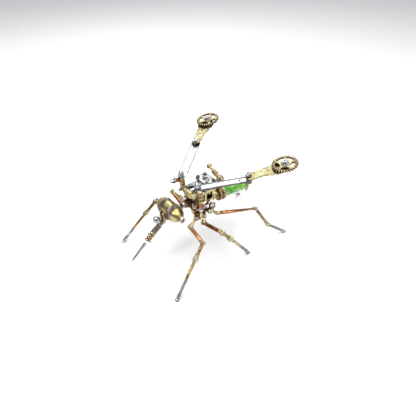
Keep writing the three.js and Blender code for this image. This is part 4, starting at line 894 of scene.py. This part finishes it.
# open cage: floor, two pierced side walls, pierced front wall, back wall, ears for the roller
p = Part("thorax_cage_frame", "thorax", "thorax_cage", slot="brass")
cz = 57.6
p.plate(rounded([(-8.5, -16.4), (8.5, -16.4), (8.5, 6.4), (-8.5, 6.4)], 0.4), cz, cz + 1.3, "brass", c=0.2, holes=[circle(0, -7.6, 1.75, 28)])
YZM = Matrix(((0, 0, 1, 0), (1, 0, 0, 0), (0, 1, 0, 0), (0, 0, 0, 1)))
XZM = Matrix(((1, 0, 0, 0), (0, 0, -1, 0), (0, 1, 0, 0), (0, 0, 0, 1)))
for s in (1, -1):
    x0, x1 = (7.3, 8.6) if s > 0 else (-8.6, -7.3)
    wall = rounded([(-16.5, cz), (6.5, cz), (6.5, 70.4), (-16.5, 70.4)], 0.5)
    p.plate(wall, x0, x1, "brass", M=YZM, c=0.2, holes=[rounded([(-12.6, 60), (-6.4, 60), (-6.4, 67), (-12.6, 67)], 0.9), rounded([(-4.2, 60), (2.6, 60), (2.6, 67), (-4.2, 67)], 0.9), circle(-14.5, 59.4, 0.5, 16), circle(4.6, 59.4, 0.5, 16)])
    for (ya, yb) in ((-12.6, -6.4), (-4.2, 2.6)):      # raised frames round the windows
        o_ = rounded([(ya - 0.55, 59.45), (yb + 0.55, 59.45), (yb + 0.55, 67.55), (ya - 0.55, 67.55)], 1.1)
        i_ = rounded([(ya, 60), (yb, 60), (yb, 67), (ya, 67)], 0.9)
        xa, xb = (8.55, 8.85) if s > 0 else (-8.85, -8.55)
        p.plate(o_, xa, xb, "pale_brass", M=YZM, c=0.1, holes=[i_])
    for y, z_ in ((-14.6, 68.6), (-5.3, 68.6), (4.6, 68.6), (-14.6, 61.5), (4.6, 61.5), (-5.3, 59.0)):
        p.cap(V(s * 8.6, y, z_), V(s, 0, 0), 0.95, 0.36 if s < 0 and z_ > 65 else 0.75, "steel" if z_ > 65 else "pale_brass", "hex" if z_ > 65 else "slot", seg=28, x=V(0, 0.4, 1))
    p.turn([(0, -0.65), (2.4, -0.65), (2.6, -0.45), (2.6, 0.45), (2.4, 0.65), (0, 0.65)], "pale_brass", V(s * 7.95, -19.6, 70.6), X3, None, 40, soft=0.08)
    p.cap(V(s * 8.6, -19.6, 70.6), V(s, 0, 0), 1.5, 1.0 if s > 0 else 0.36, "steel", "hex", seg=30)
    ya, yb = -19.4, -15.5
    p.bar(7.3 if s > 0 else -8.6, 8.6 if s > 0 else -7.3, ya, yb, 66.6, 70.4, "brass", c=0.3)
p.plate(rounded([(-7.3, cz), (7.3, cz), (7.3, 70.4), (-7.3, 70.4)], 0.3), 15.2, 16.5, "brass", M=XZM, c=0.2, holes=[rounded([(-5.2, 60.2), (5.2, 60.2), (5.2, 66.5), (-5.2, 66.5)], 0.9)])
p.plate(rounded([(-7.3, cz), (7.3, cz), (7.3, 70.4), (-7.3, 70.4)], 0.3), -6.5, -5.2, "brass", M=XZM, c=0.2)
p.rod(V(-8, -19.6, 70.6), V(8, -19.6, 70.6), 0.8, "steel", seg=24)
p.done()
# works inside the cage: a cross shaft with two pinions, seen through the windows
p = Part("thorax_inner_works", "thorax", slot="bronze")
for y, z_, r in ((-11.2, 64.6, 3.0), (0.6, 64.6, 3.3)):
    p.rod(V(-7.25, y, z_), V(7.25, y, z_), 0.7, "steel", seg=20)
    for xx in (-4.2, 3.0):
        n = 14
        g = [((r + (0.5 if (i % 4) in (1, 2) else 0)) * math.cos(2 * pi * i / (4 * n)), (r + (0.5 if (i % 4) in (1, 2) else 0)) * math.sin(2 * pi * i / (4 * n))) for i in range(4 * n)]
        p.plate(g, 0, 1.2, "bronze" if xx < 0 else "brass", V(xx, y, z_), X3, Y3, c=0.12, holes=[circle(0, 0, 0.68, 18)])
    p.turn([(0.7, -1.6), (1.7, -1.6), (1.7, 1.6), (0.7, 1.6)], "copper", V(-0.2, y, z_), X3, None, 30, soft=0.1)
p.done()

p = Part("roller_knurled_brass", "roller", "knurled_roller", slot="brass", angle=40)
kn = lambda a, r, h: r - (0.34 * (1 - max(0.0, math.cos(13 * a + h * 2.3)) ** 0.7 * 0.5 - max(0.0, math.cos(13 * a - h * 2.3)) ** 0.7 * 0.5) if r > 2.9 and abs(h) < 6.0 else 0)
rows = [(1.1, -6.9), (2.5, -6.9), (2.7, -6.6), (2.7, -6.1)] + [(3.0, -5.95 + 11.9 * i / 46) for i in range(47)] + [(2.7, 6.1), (2.7, 6.6), (2.5, 6.9), (1.1, 6.9)]
p.turn(rows, "pale_brass", V(0, -19.6, 70.6), X3, None, 104, soft=0, mod=kn)
p.done()

p = Part("thorax_front_plate_dark", "thorax", "front_plate", slot="dark_bronze")
p.plate(rounded([(-7.4, 57.7), (7.4, 57.7), (7.4, 66.2), (-7.4, 66.2)], 0.8), 16.8, 18.1, "dark_bronze", M=XZM, c=0.2)
p.turn([(3.9, 17.6), (3.9, 18.4), (3.6, 18.6), (3.6, 19.1), (3.9, 19.3), (3.9, 21.9), (3.6, 22.1), (3.6, 22.7), (3.9, 22.9), (3.9, 24.6), (3.35, 24.6), (3.35, 24.1), (2.6, 22.8), (0, 21.9), (0, 17.6)], "dark_bronze", V(0, 0, 58.8), -Y3, X3, 48, soft=0.1)
p.turn([(3.4, 24.45), (4.05, 24.5), (4.05, 24.75), (3.4, 24.8)], "copper", V(0, 0, 58.8), -Y3, X3, 48, soft=0.05)
for s in (1, -1):
    for z_ in (59.4, 64.6):
        p.cap(V(s * 5.7, -18.1, z_), -Y3, 1.1, 0.9, "steel", "hex", seg=28)
p.done()

p = Part("thorax_top_cover", "thorax", "top_cover", slot="polished_steel")
pts = [(-10, -24), (-6.4, -24), (-6.4, -14.2), (-3.4, -6.6), (9.6, -6.6), (9.6, 7.4), (-10, 7.4)]
cut_ = [(-10, -15.75), (-6.5, -15.75), (-6.4, -14.2), (-3.4, -6.6), (9.6, -6.6), (9.6, 7.4), (-10, 7.4)]
p.plate(rounded(cut_, 0.6), 70.7, 71.9, "cover_steel", c=0.2, side="black_steel", holes=[circle(-1.0, 0.4, 2.2, 32)])
p.bar(-10, -9.0, -24, 7.4, 68.5, 71.9, "cover_steel", c=0.22)
p.bar(-10.0, -9.4, -23.6, 7.0, 68.42, 68.62, "edge_steel", c=0.05)
for x, y in ((-8.2, -12.6), (-8.2, -1.0), (-8.2, 5.9), (3.4, 5.9), (8.0, -5.0), (-1.8, -5.0)):
    p.turn([(0, 0), (1.25, 0.01), (1.25, 0.22), (0, 0.24)], "gunmetal", V(x, y, 71.9), Z3, None, 28, soft=0.04)
    p.cap(V(x, y, 72.12), Z3, 0.95, 0.75, "steel", "hex", seg=28)
p.done()

p = Part("thorax_rear_deck", "thorax", "rear_deck", slot="polished_steel")
p.plate(rounded([(-7, -6), (8.6, -6), (10.4, -4), (10.4, 5.2), (8.6, 7), (-7, 7), (-8.6, 5.4), (-8.6, -4.4)], 0.7), 77.2, 78.5, "cover_steel", c=0.22, side="black_steel", holes=[circle(0.8, 0.6, 2.4, 40), circle(-3.6, 0.6, 0.7, 20), circle(5.2, 0.6, 0.7, 20)])
deck_o = rounded([(-7, -6), (8.6, -6), (10.4, -4), (10.4, 5.2), (8.6, 7), (-7, 7), (-8.6, 5.4), (-8.6, -4.4)], 0.7)
deck_i = [(0.9 + (x - 0.9) * 0.93, 0.5 + (y - 0.5) * 0.91) for x, y in deck_o]
deck_o = [(0.9 + (x - 0.9) * 0.985, 0.5 + (y - 0.5) * 0.98) for x, y in deck_o]
p.plate(deck_o, 78.4, 78.72, "edge_steel", c=0.05, holes=[deck_i])
p.turn([(2.4, 78.4), (2.4, 78.9), (3.0, 79.0), (3.3, 78.8), (3.3, 78.4)], "gunmetal", V(0.8, 0.6, 0), Z3, None, 44, soft=0.06)
for x, y in ((-6.2, -3.6), (7.8, -3.6), (-6.2, 4.6), (7.8, 4.6)):
    o = V(x, y, 0)
    p.turn([(0, 71.9), (1.4, 71.9), (1.4, 73.2), (1.15, 73.4), (1.15, 73.8), (1.4, 74.0), (1.4, 75.8), (1.15, 76.0), (1.15, 76.4), (1.4, 76.6), (1.4, 77.25), (0, 77.25)], "pale_brass", o, Z3, None, 32, soft=0.08)
    p.turn([(0, 78.5), (2.0, 78.5), (2.0, 78.78), (0, 78.8)], "gunmetal", o, Z3, None, 32, soft=0.04)
    p.cap(o + Z3 * 78.8, Z3, 1.6, 1.3, "black_steel", "hex", seg=32)
p.done()

# dorsal arm: ring, turned stem, hexagon, thin neck and ball
p = Part("thorax_dorsal_arm", "thorax", "dorsal_arm", slot="brass")
A, B2, C2 = V(0, 19.5, 70.5), V(0, 10.4, 83.0), V(0, 5.6, 90.4)
p.turn([(1.7, -1.6), (3.3, -1.6), (3.6, -1.3), (3.6, -0.5), (3.35, -0.35), (3.35, 0.35), (3.6, 0.5), (3.6, 1.3), (3.3, 1.6), (1.7, 1.6)], "pale_brass", A, X3, None, 48, soft=0.1)
st = V(0, 17.4, 72.9)
sdv = (B2 - st).normalized()
Lq = (B2 - st).length
p.turn([(0, 0), (2.0, 0.2), (2.0, 1.6), (1.6, 1.9), (1.6, 2.5), (2.2, 2.8), (2.3, 3.4), (2.2, 4.0), (1.7, 4.3), (1.7, Lq - 0.6), (1.2, Lq), (0, Lq)], "brass", st, sdv, X3, 40, soft=0.12)
hx0, hx1 = V(0, 14.4, 77.6), V(0, 10.6, 82.7)
p.nut(hx0, hx1 - hx0, 3.0, (hx1 - hx0).length * 0.46, "brass", x=X3)
p.turn([(1.5, 0), (2.35, 0.1), (2.35, 1.0), (1.5, 1.1)], "copper", hx0 + (hx1 - hx0) * 0.48, hx1 - hx0, X3, 36, soft=0.08)
p.nut(hx0 + (hx1 - hx0) * 0.68, hx1 - hx0, 2.7, (hx1 - hx0).length * 0.3, "pale_brass", x=X3)
nd2 = (C2 - B2).normalized()
p.turn([(0, -0.4), (1.9, -0.4), (1.9, 0.5), (1.2, 0.9), (1.05, 2.4), (1.35, 3.6), (1.35, 4.2), (1.05, 4.6), (1.05, 7.4), (0, 7.4)], "brass", B2, nd2, X3, 32, soft=0.1)
p.ball(C2, 2.6, "brass", z=nd2)
p.turn([(2.3, 0.45), (2.68, 0.4), (2.72, 0.0), (2.68, -0.4), (2.3, -0.45)], "pale_brass", C2, nd2, X3, 44, soft=0.05)
p.cap(C2 + nd2 * 2.35, nd2, 0.9, 0.5, "steel", "hex", seg=24)
p.done()

p = Part("thorax_rear_bracket", "thorax", "rear_bracket", slot="polished_steel")
AP = V(0, 10.6, 54.6)
p.plate(rounded([(-5.4, 51.6), (5.4, 51.6), (5.4, 70.3), (-5.4, 70.3)], 1.0), -8.0, -6.8, "steel", M=XZM, c=0.2, holes=[circle(-2.8, 63.0, 0.8, 20), circle(2.8, 63.0, 0.8, 20)])
for s in (1, -1):
    xa, xb = (EAR_X - EAR_T / 2, EAR_X + EAR_T / 2) if s > 0 else (-EAR_X - EAR_T / 2, -EAR_X + EAR_T / 2)
    ear = arc2(10.6, 54.6, 2.6, -pi / 2, pi / 2, 20) + [(7.2, 57.2), (7.2, 52.0)]
    p.plate(ear, xa, xb, "steel", M=YZM, c=0.16)
    p.cap(V(s * 2.0, 10.6, 54.6), V(s, 0, 0), 1.3, 0.7, "pale_brass", "hex", seg=28)
    xa, xb = (1.9, 3.2) if s > 0 else (-3.2, -1.9)
    arm = [(7.2, 66.6), (17.0, 66.6), (19.6, 67.6)] + arc2(19.5, 70.5, 2.9, -pi / 2 + 0.1, pi, 24) + [(15.6, 68.9), (7.2, 68.9)]
    p.plate(arm, xa, xb, "steel", M=YZM, c=0.18)
    p.cap(V(s * 3.2, 19.5, 70.5), V(s, 0, 0), 1.7, 1.1, "pale_brass", "hex", seg=32)
    for z_ in (53.6, 66.0):
        p.cap(V(s * 4.2, 8.0, z_), Y3, 0.9, 0.7, "gunmetal", "hex", seg=24)
    # brass knobs beside the abdomen hinge
    p.turn([(0, 0), (1.3, 0), (1.3, 0.6), (0.9, 0.8), (0.9, 1.4), (1.6, 1.8), (1.9, 2.7), (1.6, 3.5), (0.8, 4.0), (0, 4.05)], "pale_brass" if s > 0 else "copper", V(s * 4.0, 8.0, 58.6), Y3, None, 32, soft=0.1)
p.rod(V(-2.5, 19.5, 70.5), V(2.5, 19.5, 70.5), 1.4, "steel", seg=28)
p.rod(V(-2.1, 10.6, 54.6), V(2.1, 10.6, 54.6), PIN_R, "steel", seg=20)
p.done()

# ------------------------------------------------------------------ abdomen
AE = V(0, 57.2, 50.6)
ad = (AE - AP).normalized()
AL = (AE - AP).length
ri = 5.3
p = Part("abdomen_cap_turned", "abdomen", "abdomen_cap", slot="copper", angle=34)
eye(p, AP, ad, X3, "copper", reach=3.2)
grip = lambda a, r, h: r - (0.3 * (0.5 - 0.5 * math.cos(30 * a)) if 6.85 < r < 7.0 and 6.0 < h < 8.7 else 0)
p.turn([(0, 2.9), (3.4, 2.9), (4.2, 3.6), (4.2, 3.9), (6.0, 4.2), (6.8, 4.5), (7.2, 4.8), (7.2, 5.6), (6.9, 5.8), (6.9, 6.1), (6.9, 8.6), (6.9, 8.8), (7.2, 9.0), (7.2, 9.5), (7.0, 9.6), (7.0, 9.8), (7.2, 9.9), (7.2, 10.4), (6.4, 10.4), (6.4, 6.2), (5.0, 6.2), (5.0, 9.4), (0, 9.4)], "bronze", AP, ad, X3, 120, soft=0.1, mod=grip)
p.turn([(6.5, 4.62), (7.25, 4.82), (7.25, 5.55), (6.5, 5.75)], "pale_brass", AP, ad, X3, 72, soft=0.05)
p.turn([(6.5, 8.95), (7.26, 9.02), (7.26, 9.48), (6.5, 9.55)], "brass", AP, ad, X3, 72, soft=0.05)
p.turn([(6.5, 7.0), (6.98, 7.02), (6.98, 7.6), (6.5, 7.62)], "dark_bronze", AP, ad, X3, 72, soft=0.05)
p.turn([(6.5, 10.38), (7.0, 10.4), (7.0, 11.3), (6.6, 11.5), (6.45, 11.5)], "pale_brass", AP, ad, X3, 72, soft=0.06)
for i in range(6):
    t = math.radians(60 * i + 20)
    yv = ad.cross(X3)
    d = X3 * math.cos(t) + yv * math.sin(t)
    p.cap(AP + ad * 9.7 + d * 7.1, d, 0.75, 0.6, "steel" if i % 2 else "pale_brass", "hex", seg=20)
    p.cap(AP + ad * 5.2 + d * 7.05, d, 0.6, 0.5, "gunmetal", "dome", seg=18)
p.done()


def arcs(r, c, n, rev=False):
    o = [(r * math.cos(i / n * pi / 2), c + r * math.sin(i / n * pi / 2)) for i in range(n + 1)]
    o[-1] = (0.0, c + r)
    return o[::-1] if rev else o


c_ = AL - 6.1
p = Part("abdomen_vial", "abdomen", "abdomen_tube", slot="clear_glass", angle=50)
p.turn([(ri, 6.5), (6.1, 6.5)] + [(6.1, 6.5 + (c_ - 6.5) * i / 6) for i in range(1, 6)] + arcs(6.1, c_, 14) + [(0.0, c_ + ri)] + arcs(ri, c_, 14, True)[1:] , "vial_glass", AP, ad, X3, 64, soft=0)
p.done()
p = Part("abdomen_green_liquid", "abdomen", "abdomen_liquid", slot="green_liquid", angle=50)
p.turn([(0, 9.7), (4.7, 9.7), (5.26, 10.2)] + [(5.26, 10.2 + (c_ - 10.2) * i / 10) for i in range(1, 10)] + arcs(5.26, c_, 14), "green_liquid", AP, ad, X3, 64, soft=0)
p.done()
# brass end ring of the vial with its two small screws
p = Part("abdomen_end_ring", "abdomen", slot="brass", angle=34)
e0 = c_ - 0.4
p.turn([(6.14, e0), (6.55, e0 + 0.05), (6.6, e0 + 0.4), (6.4, e0 + 0.6), (6.4, e0 + 0.9), (6.6, e0 + 1.1), (6.55, e0 + 1.5), (6.14, e0 + 1.6)], "pale_brass", AP, ad, X3, 64, soft=0.05)
for i in range(4):
    t = math.radians(45 + 90 * i)
    yv = ad.cross(X3)
    d = X3 * math.cos(t) + yv * math.sin(t)
    p.turn([(0, 6.3), (0.8, 6.3), (0.8, 7.0), (0.55, 7.2), (0, 7.25)], "gunmetal", AP + ad * (e0 + 0.8), d, ad, 20, soft=0.05)
p.done()

# ------------------------------------------------------------------ neck and head
NA, NB, HC = V(0, -25.2, 58.8), V(0, -30.9, 59.3), V(0, -40.7, 60.0)
nk = (NB - NA).normalized()
p = Part("neck_link_chrome", "neck", "neck_link", slot="polished_steel", angle=50)
p.ball(NA, 3.0, "steel", z=nk)
p.ball(NB, 2.4, "steel", z=nk)
p.rod(NA, NB, 1.5, "steel", seg=32)
p.done()
mid = NA.lerp(NB, 0.545)
p = Part("neck_black_ring", "neck", "neck_ring", slot="black_rubber", angle=50)
rr_ = [(2.15 + 0.36 * math.cos(t), 0.36 * math.sin(t)) for t in np.linspace(0, 2 * pi, 15)[:-1]]
p.turn(rr_, "black_rubber", mid, nk, X3, 48, soft=0)
p.done()

p = Part("head_drum_turned", "head", "head_drum", slot="brass", angle=34)
p.turn([(5.0, -9.7), (7.2, -9.7), (8.0, -9.2), (8.0, -8.8), (8.0, -5.6), (8.0, -5.0), (7.35, -4.8), (5.0, -4.8)], "gunmetal_warm", HC, X3, Y3, 128, soft=0.1, mod=lambda a, r, h: r - (0.42 * (0.5 - 0.5 * math.cos(26 * a)) if r > 7.9 and -8.9 < h < -5.5 else 0))
p.turn([(5.0, 4.8), (7.35, 4.8), (8.0, 5.0), (8.0, 5.6), (8.0, 8.8), (8.0, 9.2), (7.2, 9.7), (5.0, 9.7)], "gunmetal_warm", HC, X3, Y3, 128, soft=0.1, mod=lambda a, r, h: r - (0.42 * (0.5 - 0.5 * math.cos(26 * a)) if r > 7.9 and 5.5 < h < 8.9 else 0))
p.turn([(5.0, -4.8), (7.3, -4.8), (7.3, -4.2), (5.0, -4.2)], "dark_bronze", HC, X3, Y3, 96, soft=0.05)
p.turn([(5.0, 4.2), (7.3, 4.2), (7.3, 4.8), (5.0, 4.8)], "dark_bronze", HC, X3, Y3, 96, soft=0.05)
mid_band = [(5.0, -4.2), (7.4, -4.2), (7.9, -4.0)]
for x in (-2.6, -0.9, 0.9, 2.6):
    mid_band += [(7.9, x - 0.42), (7.5, x - 0.2), (7.5, x + 0.2), (7.9, x + 0.42)]
mid_band += [(7.9, 4.0), (7.4, 4.2), (5.0, 4.2)]
p.turn(mid_band, "brass", HC, X3, Y3, 96, soft=0.08)
# dark rings in the bottoms of the four grooves: painted shade in the grooves
for x in (-2.6, -0.9, 0.9, 2.6):
    p.turn([(7.2, x - 0.26), (7.6, x - 0.24), (7.6, x + 0.24), (7.2, x + 0.26)], "dark_bronze", HC, X3, Y3, 96, soft=0.02)
for x in (-1.75, 1.75):
    p.turn([(7.6, x - 0.3), (7.96, x - 0.26), (7.96, x + 0.26), (7.6, x + 0.3)], "pale_brass", HC, X3, Y3, 96, soft=0.04)
p.turn([(2.45, 31.0), (3.05, 31.0), (3.2, 31.2), (3.2, 32.2), (2.95, 32.35), (2.95, 32.8), (3.2, 33.0), (3.2, 34.6), (2.45, 34.6)], "brass", V(0, 0, 59.3), -Y3, X3, 44, soft=0.06)
p.done()
for side, s in (("left", 1), ("right", -1)):
    p = Part("head_eye_dome_" + side, "head", "eye_" + side, slot="brass", angle=34)
    ax = V(s, 0, 0)
    p.turn([(0, 6.4), (4.6, 6.4), (4.6, 10.0), (6.9, 10.0), (7.3, 10.35), (7.3, 10.8), (7.05, 10.95), (7.05, 11.2), (7.2, 11.3), (7.05, 12.0), (6.75, 12.8), (6.3, 13.6), (5.75, 14.4), (5.1, 15.3), (4.5, 16.1), (4.1, 16.6), (3.6, 16.75), (3.3, 16.9), (3.3, 17.6), (2.9, 17.8), (2.4, 17.9), (2.4, 18.1), (0, 18.1)], "eye_brass", HC, ax, Y3, 80, soft=0.1)
    p.turn([(4.5, 9.72), (6.6, 9.75), (6.6, 10.0), (4.5, 10.0)], "dark_bronze", HC, ax, Y3, 64, soft=0.04)
    m = "rose_copper" if s > 0 else "steel"
    p._hexcut = 3.1
    p.turn([(0, 18.0), (2.6, 18.0), (2.75, 18.02, "c"), (3.1, 18.35, "c"), (3.1, 21.0, "c"), (2.75, 21.4, "c"), (2.5, 21.4), (1.6, 21.4), (1.4, 21.2), (1.4, 20.2), (0, 20.1)], m, HC, ax, Y3, 48, soft=0)
    p.turn([(0, 20.05), (1.0, 20.05), (1.0, 20.7), (0.8, 20.9), (0, 20.95)], "gunmetal", HC, ax, Y3, 24, soft=0.05)
    p.done()

PP, PM, NDA, NDB = V(0, -50.0, 49.6), V(0, -63.5, 39.6), V(0, -69.5, 34.2), V(0, -85.5, 20.2)
pd = (PM - PP).normalized()
p = Part("head_face_fork", "head", "face_fork", slot="copper")
for x in (-2.6, 2.6):
    pts = []
    ts = [math.radians(-8 + 70 * i / 20) for i in range(21)]
    pts += [(-9.9 * math.cos(t), -9.9 * math.sin(t)) for t in ts]
    pts += [(-8.35 * math.cos(t), -8.3 * math.sin(t)) for t in reversed(ts)]
    M = YZM.copy()
    M.translation = V(x, HC.y, HC.z)
    p.plate(pts, -0.8, 0.8, "copper", M=M, c=0.2)
    for t in (-3, 20, 44):
        tt = math.radians(t)
        d = V(0, -math.cos(tt), -math.sin(tt))
        p.cap(V(x, HC.y, HC.z) + d * 9.8, d, 0.55, 0.45, "pale_brass", "dome", seg=18)
p.turn([(0, -3.4), (1.3, -3.4), (1.5, -3.1), (1.5, -1.7), (1.2, -1.5), (1.2, 1.5), (1.5, 1.7), (1.5, 3.1), (1.3, 3.4), (0, 3.4)], "brass", V(0, -49.0, 55.0), X3, None, 36, soft=0.1)
p.cap(V(3.4, -49.0, 55.0), X3, 1.5, 0.8, "steel", "hex", seg=30)
p.cap(V(-3.4, -49.0, 55.0), -X3, 1.5, 0.8, "steel", "hex", seg=30)
p.turn([(0, 0), (1.3, 0), (1.3, 1.4), (1.7, 1.6), (1.7, 2.4), (1.3, 2.6), (1.3, 3.4), (0, 3.4)], "pale_brass", V(0, -49.6, 55.05), V(0, -1, 0.11), X3, 32, soft=0.1)
fork(p, PP, pd, X3, "copper", head="steel")
p.rod(PP - pd * 2.9, PP - pd * 5.0, 1.5, "copper", seg=30)
p.rod(PP - pd * 4.4, V(0, -48.9, 54.8), 1.5, "copper", seg=30)
p.done()
p = Part("head_chin_ball", "head", "chin_ball", slot="polished_steel", angle=50)
p.ball(V(0, -56.2, 55.4), 3.4, "steel", z=(0, 1, 0), seg=56, rings=36)
p.done()

p = Part("proboscis_hex_sleeve", "proboscis", "proboscis_sleeve", slot="gunmetal")
eye(p, PP, pd, X3, "gunmetal_warm", reach=3.3)
Lp = (PM - PP).length
p._hexcut = 2.95
p.turn([(0, 2.9), (2.1, 2.9), (2.35, 3.0, "c"), (2.95, 3.7, "c"), (2.95, Lp - 4.2, "c"), (2.6, Lp - 3.7, "c"), (2.2, Lp - 3.7), (0, Lp - 3.7)], "gunmetal_warm", PP, pd, X3, 48, soft=0)
yv = pd.cross(X3)
for i in range(6):      # long slots along the flats
    t = pi / 6 + i * pi / 3
    d = X3 * math.cos(t) + yv * math.sin(t)
    w = pd.cross(d)
    M = Matrix((pd, w, d)).transposed().to_4x4()
    M.translation = PP + d * 2.46
    p.plate(rounded([(5.0, -0.45), (Lp - 5.4, -0.45), (Lp - 5.4, 0.45), (5.0, 0.45)], 0.4), 0.02, 0.2, "copper" if i % 2 else "dark_bronze", M=M, c=0.06)
p.turn([(0, Lp - 3.6), (2.2, Lp - 3.6), (3.1, Lp - 3.45), (3.25, Lp - 3.2), (3.25, Lp - 2.5), (3.1, Lp - 2.3), (2.4, Lp - 2.2), (2.4, Lp - 1.4), (0, Lp - 1.4)], "pale_brass", PP, pd, X3, 48, soft=0.08)
p.done()
ndr = (NDB - NDA).normalized()
na = NDA - ndr * 0.3
nz0 = PM - pd * 0.9
nzd = (na - nz0).normalized()
nzd = (na - PM).normalized()
p = Part("proboscis_ribbed_nozzle", "proboscis", "proboscis_nozzle", slot="brass")
p.turn([(0, 0), (3.3, 0), (3.6, 0.25), (3.6, 0.95), (3.3, 1.2), (2.3, 1.4), (2.3, 2.6), (0, 2.6)], "pale_brass", nz0, nzd, X3, 48, soft=0.08)
p.turn([(0, 2.5), (2.3, 2.5), (2.9, 2.75), (2.9, 4.0), (2.3, 4.25), (2.3, 5.2), (0, 5.2)], "copper", nz0, nzd, X3, 48, soft=0.08)
p.turn([(0, 5.1), (2.3, 5.15), (3.1, 5.4), (3.1, 6.5), (1.9, 6.85), (0, 6.9)], "brass", nz0, nzd, X3, 48, soft=0.08)
p.turn([(1.6, 6.5), (2.2, 6.6), (2.2, 6.9), (1.6, 6.95)], "dark_bronze", nz0, nzd, X3, 40, soft=0.05)
for i in range(3):
    t = math.radians(90 + 120 * i)
    d = X3 * math.cos(t) + nzd.cross(X3) * math.sin(t)
    p.cap(nz0 + nzd * 5.95 + d * 2.95, d, 0.62, 0.6, "black_steel", "hex", seg=20)
p.done()
p = Part("proboscis_needle_ground", "proboscis", "proboscis_needle", slot="gunmetal")
Ln = (NDB - NDA).length
p.turn([(0, 0), (1.6, 0), (1.58, 0.8), (1.45, 1.0), (1.45, 1.3), (1.56, 1.5)] + [(1.56 - (1.56 - 0.9) * i / 8, 1.5 + (Ln - 2.4) * i / 8) for i in range(1, 9)] + [(0.85, Ln - 0.5), (0.6, Ln - 0.05), (0.35, Ln), (0, Ln)], "needle_steel", NDA, ndr, X3, 40, soft=0)
p.done()

# ------------------------------------------------------------------ floor, light, camera
def stage():
    me = bpy.data.meshes.new("floor")
    n, half = 24, 3.0
    bm = bmesh.new()
    bmesh.ops.create_grid(bm, x_segments=n, y_segments=n, size=half)
    bm.to_mesh(me)
    bm.free()
    mat = bpy.data.materials.new("floor_white")
    t, nn, l = nodes_of(mat)
    out = nn.new("ShaderNodeOutputMaterial")
    p = nn.new("ShaderNodeBsdfPrincipled")
    tc = nn.new("ShaderNodeTexCoord")
    f = noise(nn, l, tc.outputs["Object"], 60.0, 3.0)
    l.new(ramp(nn, l, f, [(0.3, (0.80, 0.80, 0.805)), (0.7, (0.825, 0.825, 0.825))]), p.inputs["Base Color"])
    p.inputs["Roughness"].default_value = 0.85
    p.inputs["Specular IOR Level"].default_value = 0.1
    l.new(p.outputs[0], out.inputs["Surface"])
    me.materials.append(mat)
    ob = bpy.data.objects.new("floor", me)
    ob.location = (0, 0, 0)
    bpy.context.scene.collection.objects.link(ob)

    def area(name, loc, size, power, target=(0, 0, 0.05), color=(1, 1, 1), size_y=None):
        d = bpy.data.lights.new(name, "AREA")
        d.energy = power
        d.color = color
        d.shape = "RECTANGLE"
        d.size = size
        d.size_y = size_y or size
        o = bpy.data.objects.new(name, d)
        o.location = loc
        o.rotation_euler = (Vector(target) - Vector(loc)).to_track_quat("-Z", "Y").to_euler()
        bpy.context.scene.collection.objects.link(o)
        return o

    area("key", (0.10, -0.60, 0.70), 0.20, 2.0)
    area("fill", (0.75, 0.30, 0.40), 0.22, 1.0, size_y=0.12)
    area("rim", (-0.68, 0.31, 0.61), 0.34, 1.0, size_y=0.50)
    area("top", (0.0, 0.05, 0.95), 1.25, 10.5)
    w = bpy.data.worlds.new("studio")
    bpy.context.scene.world = w
    w.use_nodes = True
    n = w.node_tree.nodes
    l = w.node_tree.links
    n.clear()
    o = n.new("ShaderNodeOutputWorld")
    bg = n.new("ShaderNodeBackground")
    tc = n.new("ShaderNodeTexCoord")
    sep = n.new("ShaderNodeSeparateXYZ")
    l.new(tc.outputs["Generated"], sep.inputs[0])
    r = n.new("ShaderNodeValToRGB")
    e = r.color_ramp.elements
    e[0].position, e[0].color = 0.0, (0.62, 0.62, 0.63, 1)
    e[1].position, e[1].color = 0.80, (0.70, 0.70, 0.74, 1)
    for pos, c in ((0.17, 0.60), (0.22, 0.02), (0.37, 0.03), (0.44, 0.50), (0.55, 0.62), (0.68, 0.50), (0.73, 0.05)):
        k = e.new(pos)
        k.color = (c, c, c * 1.02, 1)
    l.new(sep.outputs["Z"], r.inputs["Fac"])
    l.new(r.outputs["Color"], bg.inputs["Color"])
    bg.inputs["Strength"].default_value = 0.85
    l.new(bg.outputs[0], o.inputs["Surface"])


def camera():
    back = V(0.6454, -0.4793, 0.5948).normalized()
    r0 = V(0, 0, 1).cross(back).normalized()
    u0 = back.cross(r0)
    roll = math.radians(-0.4)
    right = r0 * math.cos(roll) + u0 * math.sin(roll)
    up = u0 * math.cos(roll) - r0 * math.sin(roll)
    eye_at = V(0, 0, 0.047) + back * 0.4348
    cam = bpy.data.cameras.new("camera")
    cam.sensor_width = 36.0
    # 1 mm at the look-at distance is 1 pixel of 416
    cam.lens = 36.0 * 434.8 / 416.0
    cam.clip_start = 0.01
    cam.clip_end = 20
    ob = bpy.data.objects.new("camera", cam)
    # the look-at point lands 3 px left of and 3 px above the middle of the frame
    aim = V(0, 0, 0.047) + right * 0.003 - up * 0.003
    d = (eye_at - aim).normalized()
    rr = up.cross(d).normalized()
    uu = d.cross(rr)
    m = Matrix((rr, uu, d)).transposed().to_4x4()
    m.translation = eye_at
    ob.matrix_world = m
    bpy.context.scene.collection.objects.link(ob)
    bpy.context.scene.camera = ob


stage()
camera()
bpy.context.scene.view_settings.view_transform = "Standard"
bpy.context.scene.view_settings.look = "Medium High Contrast"
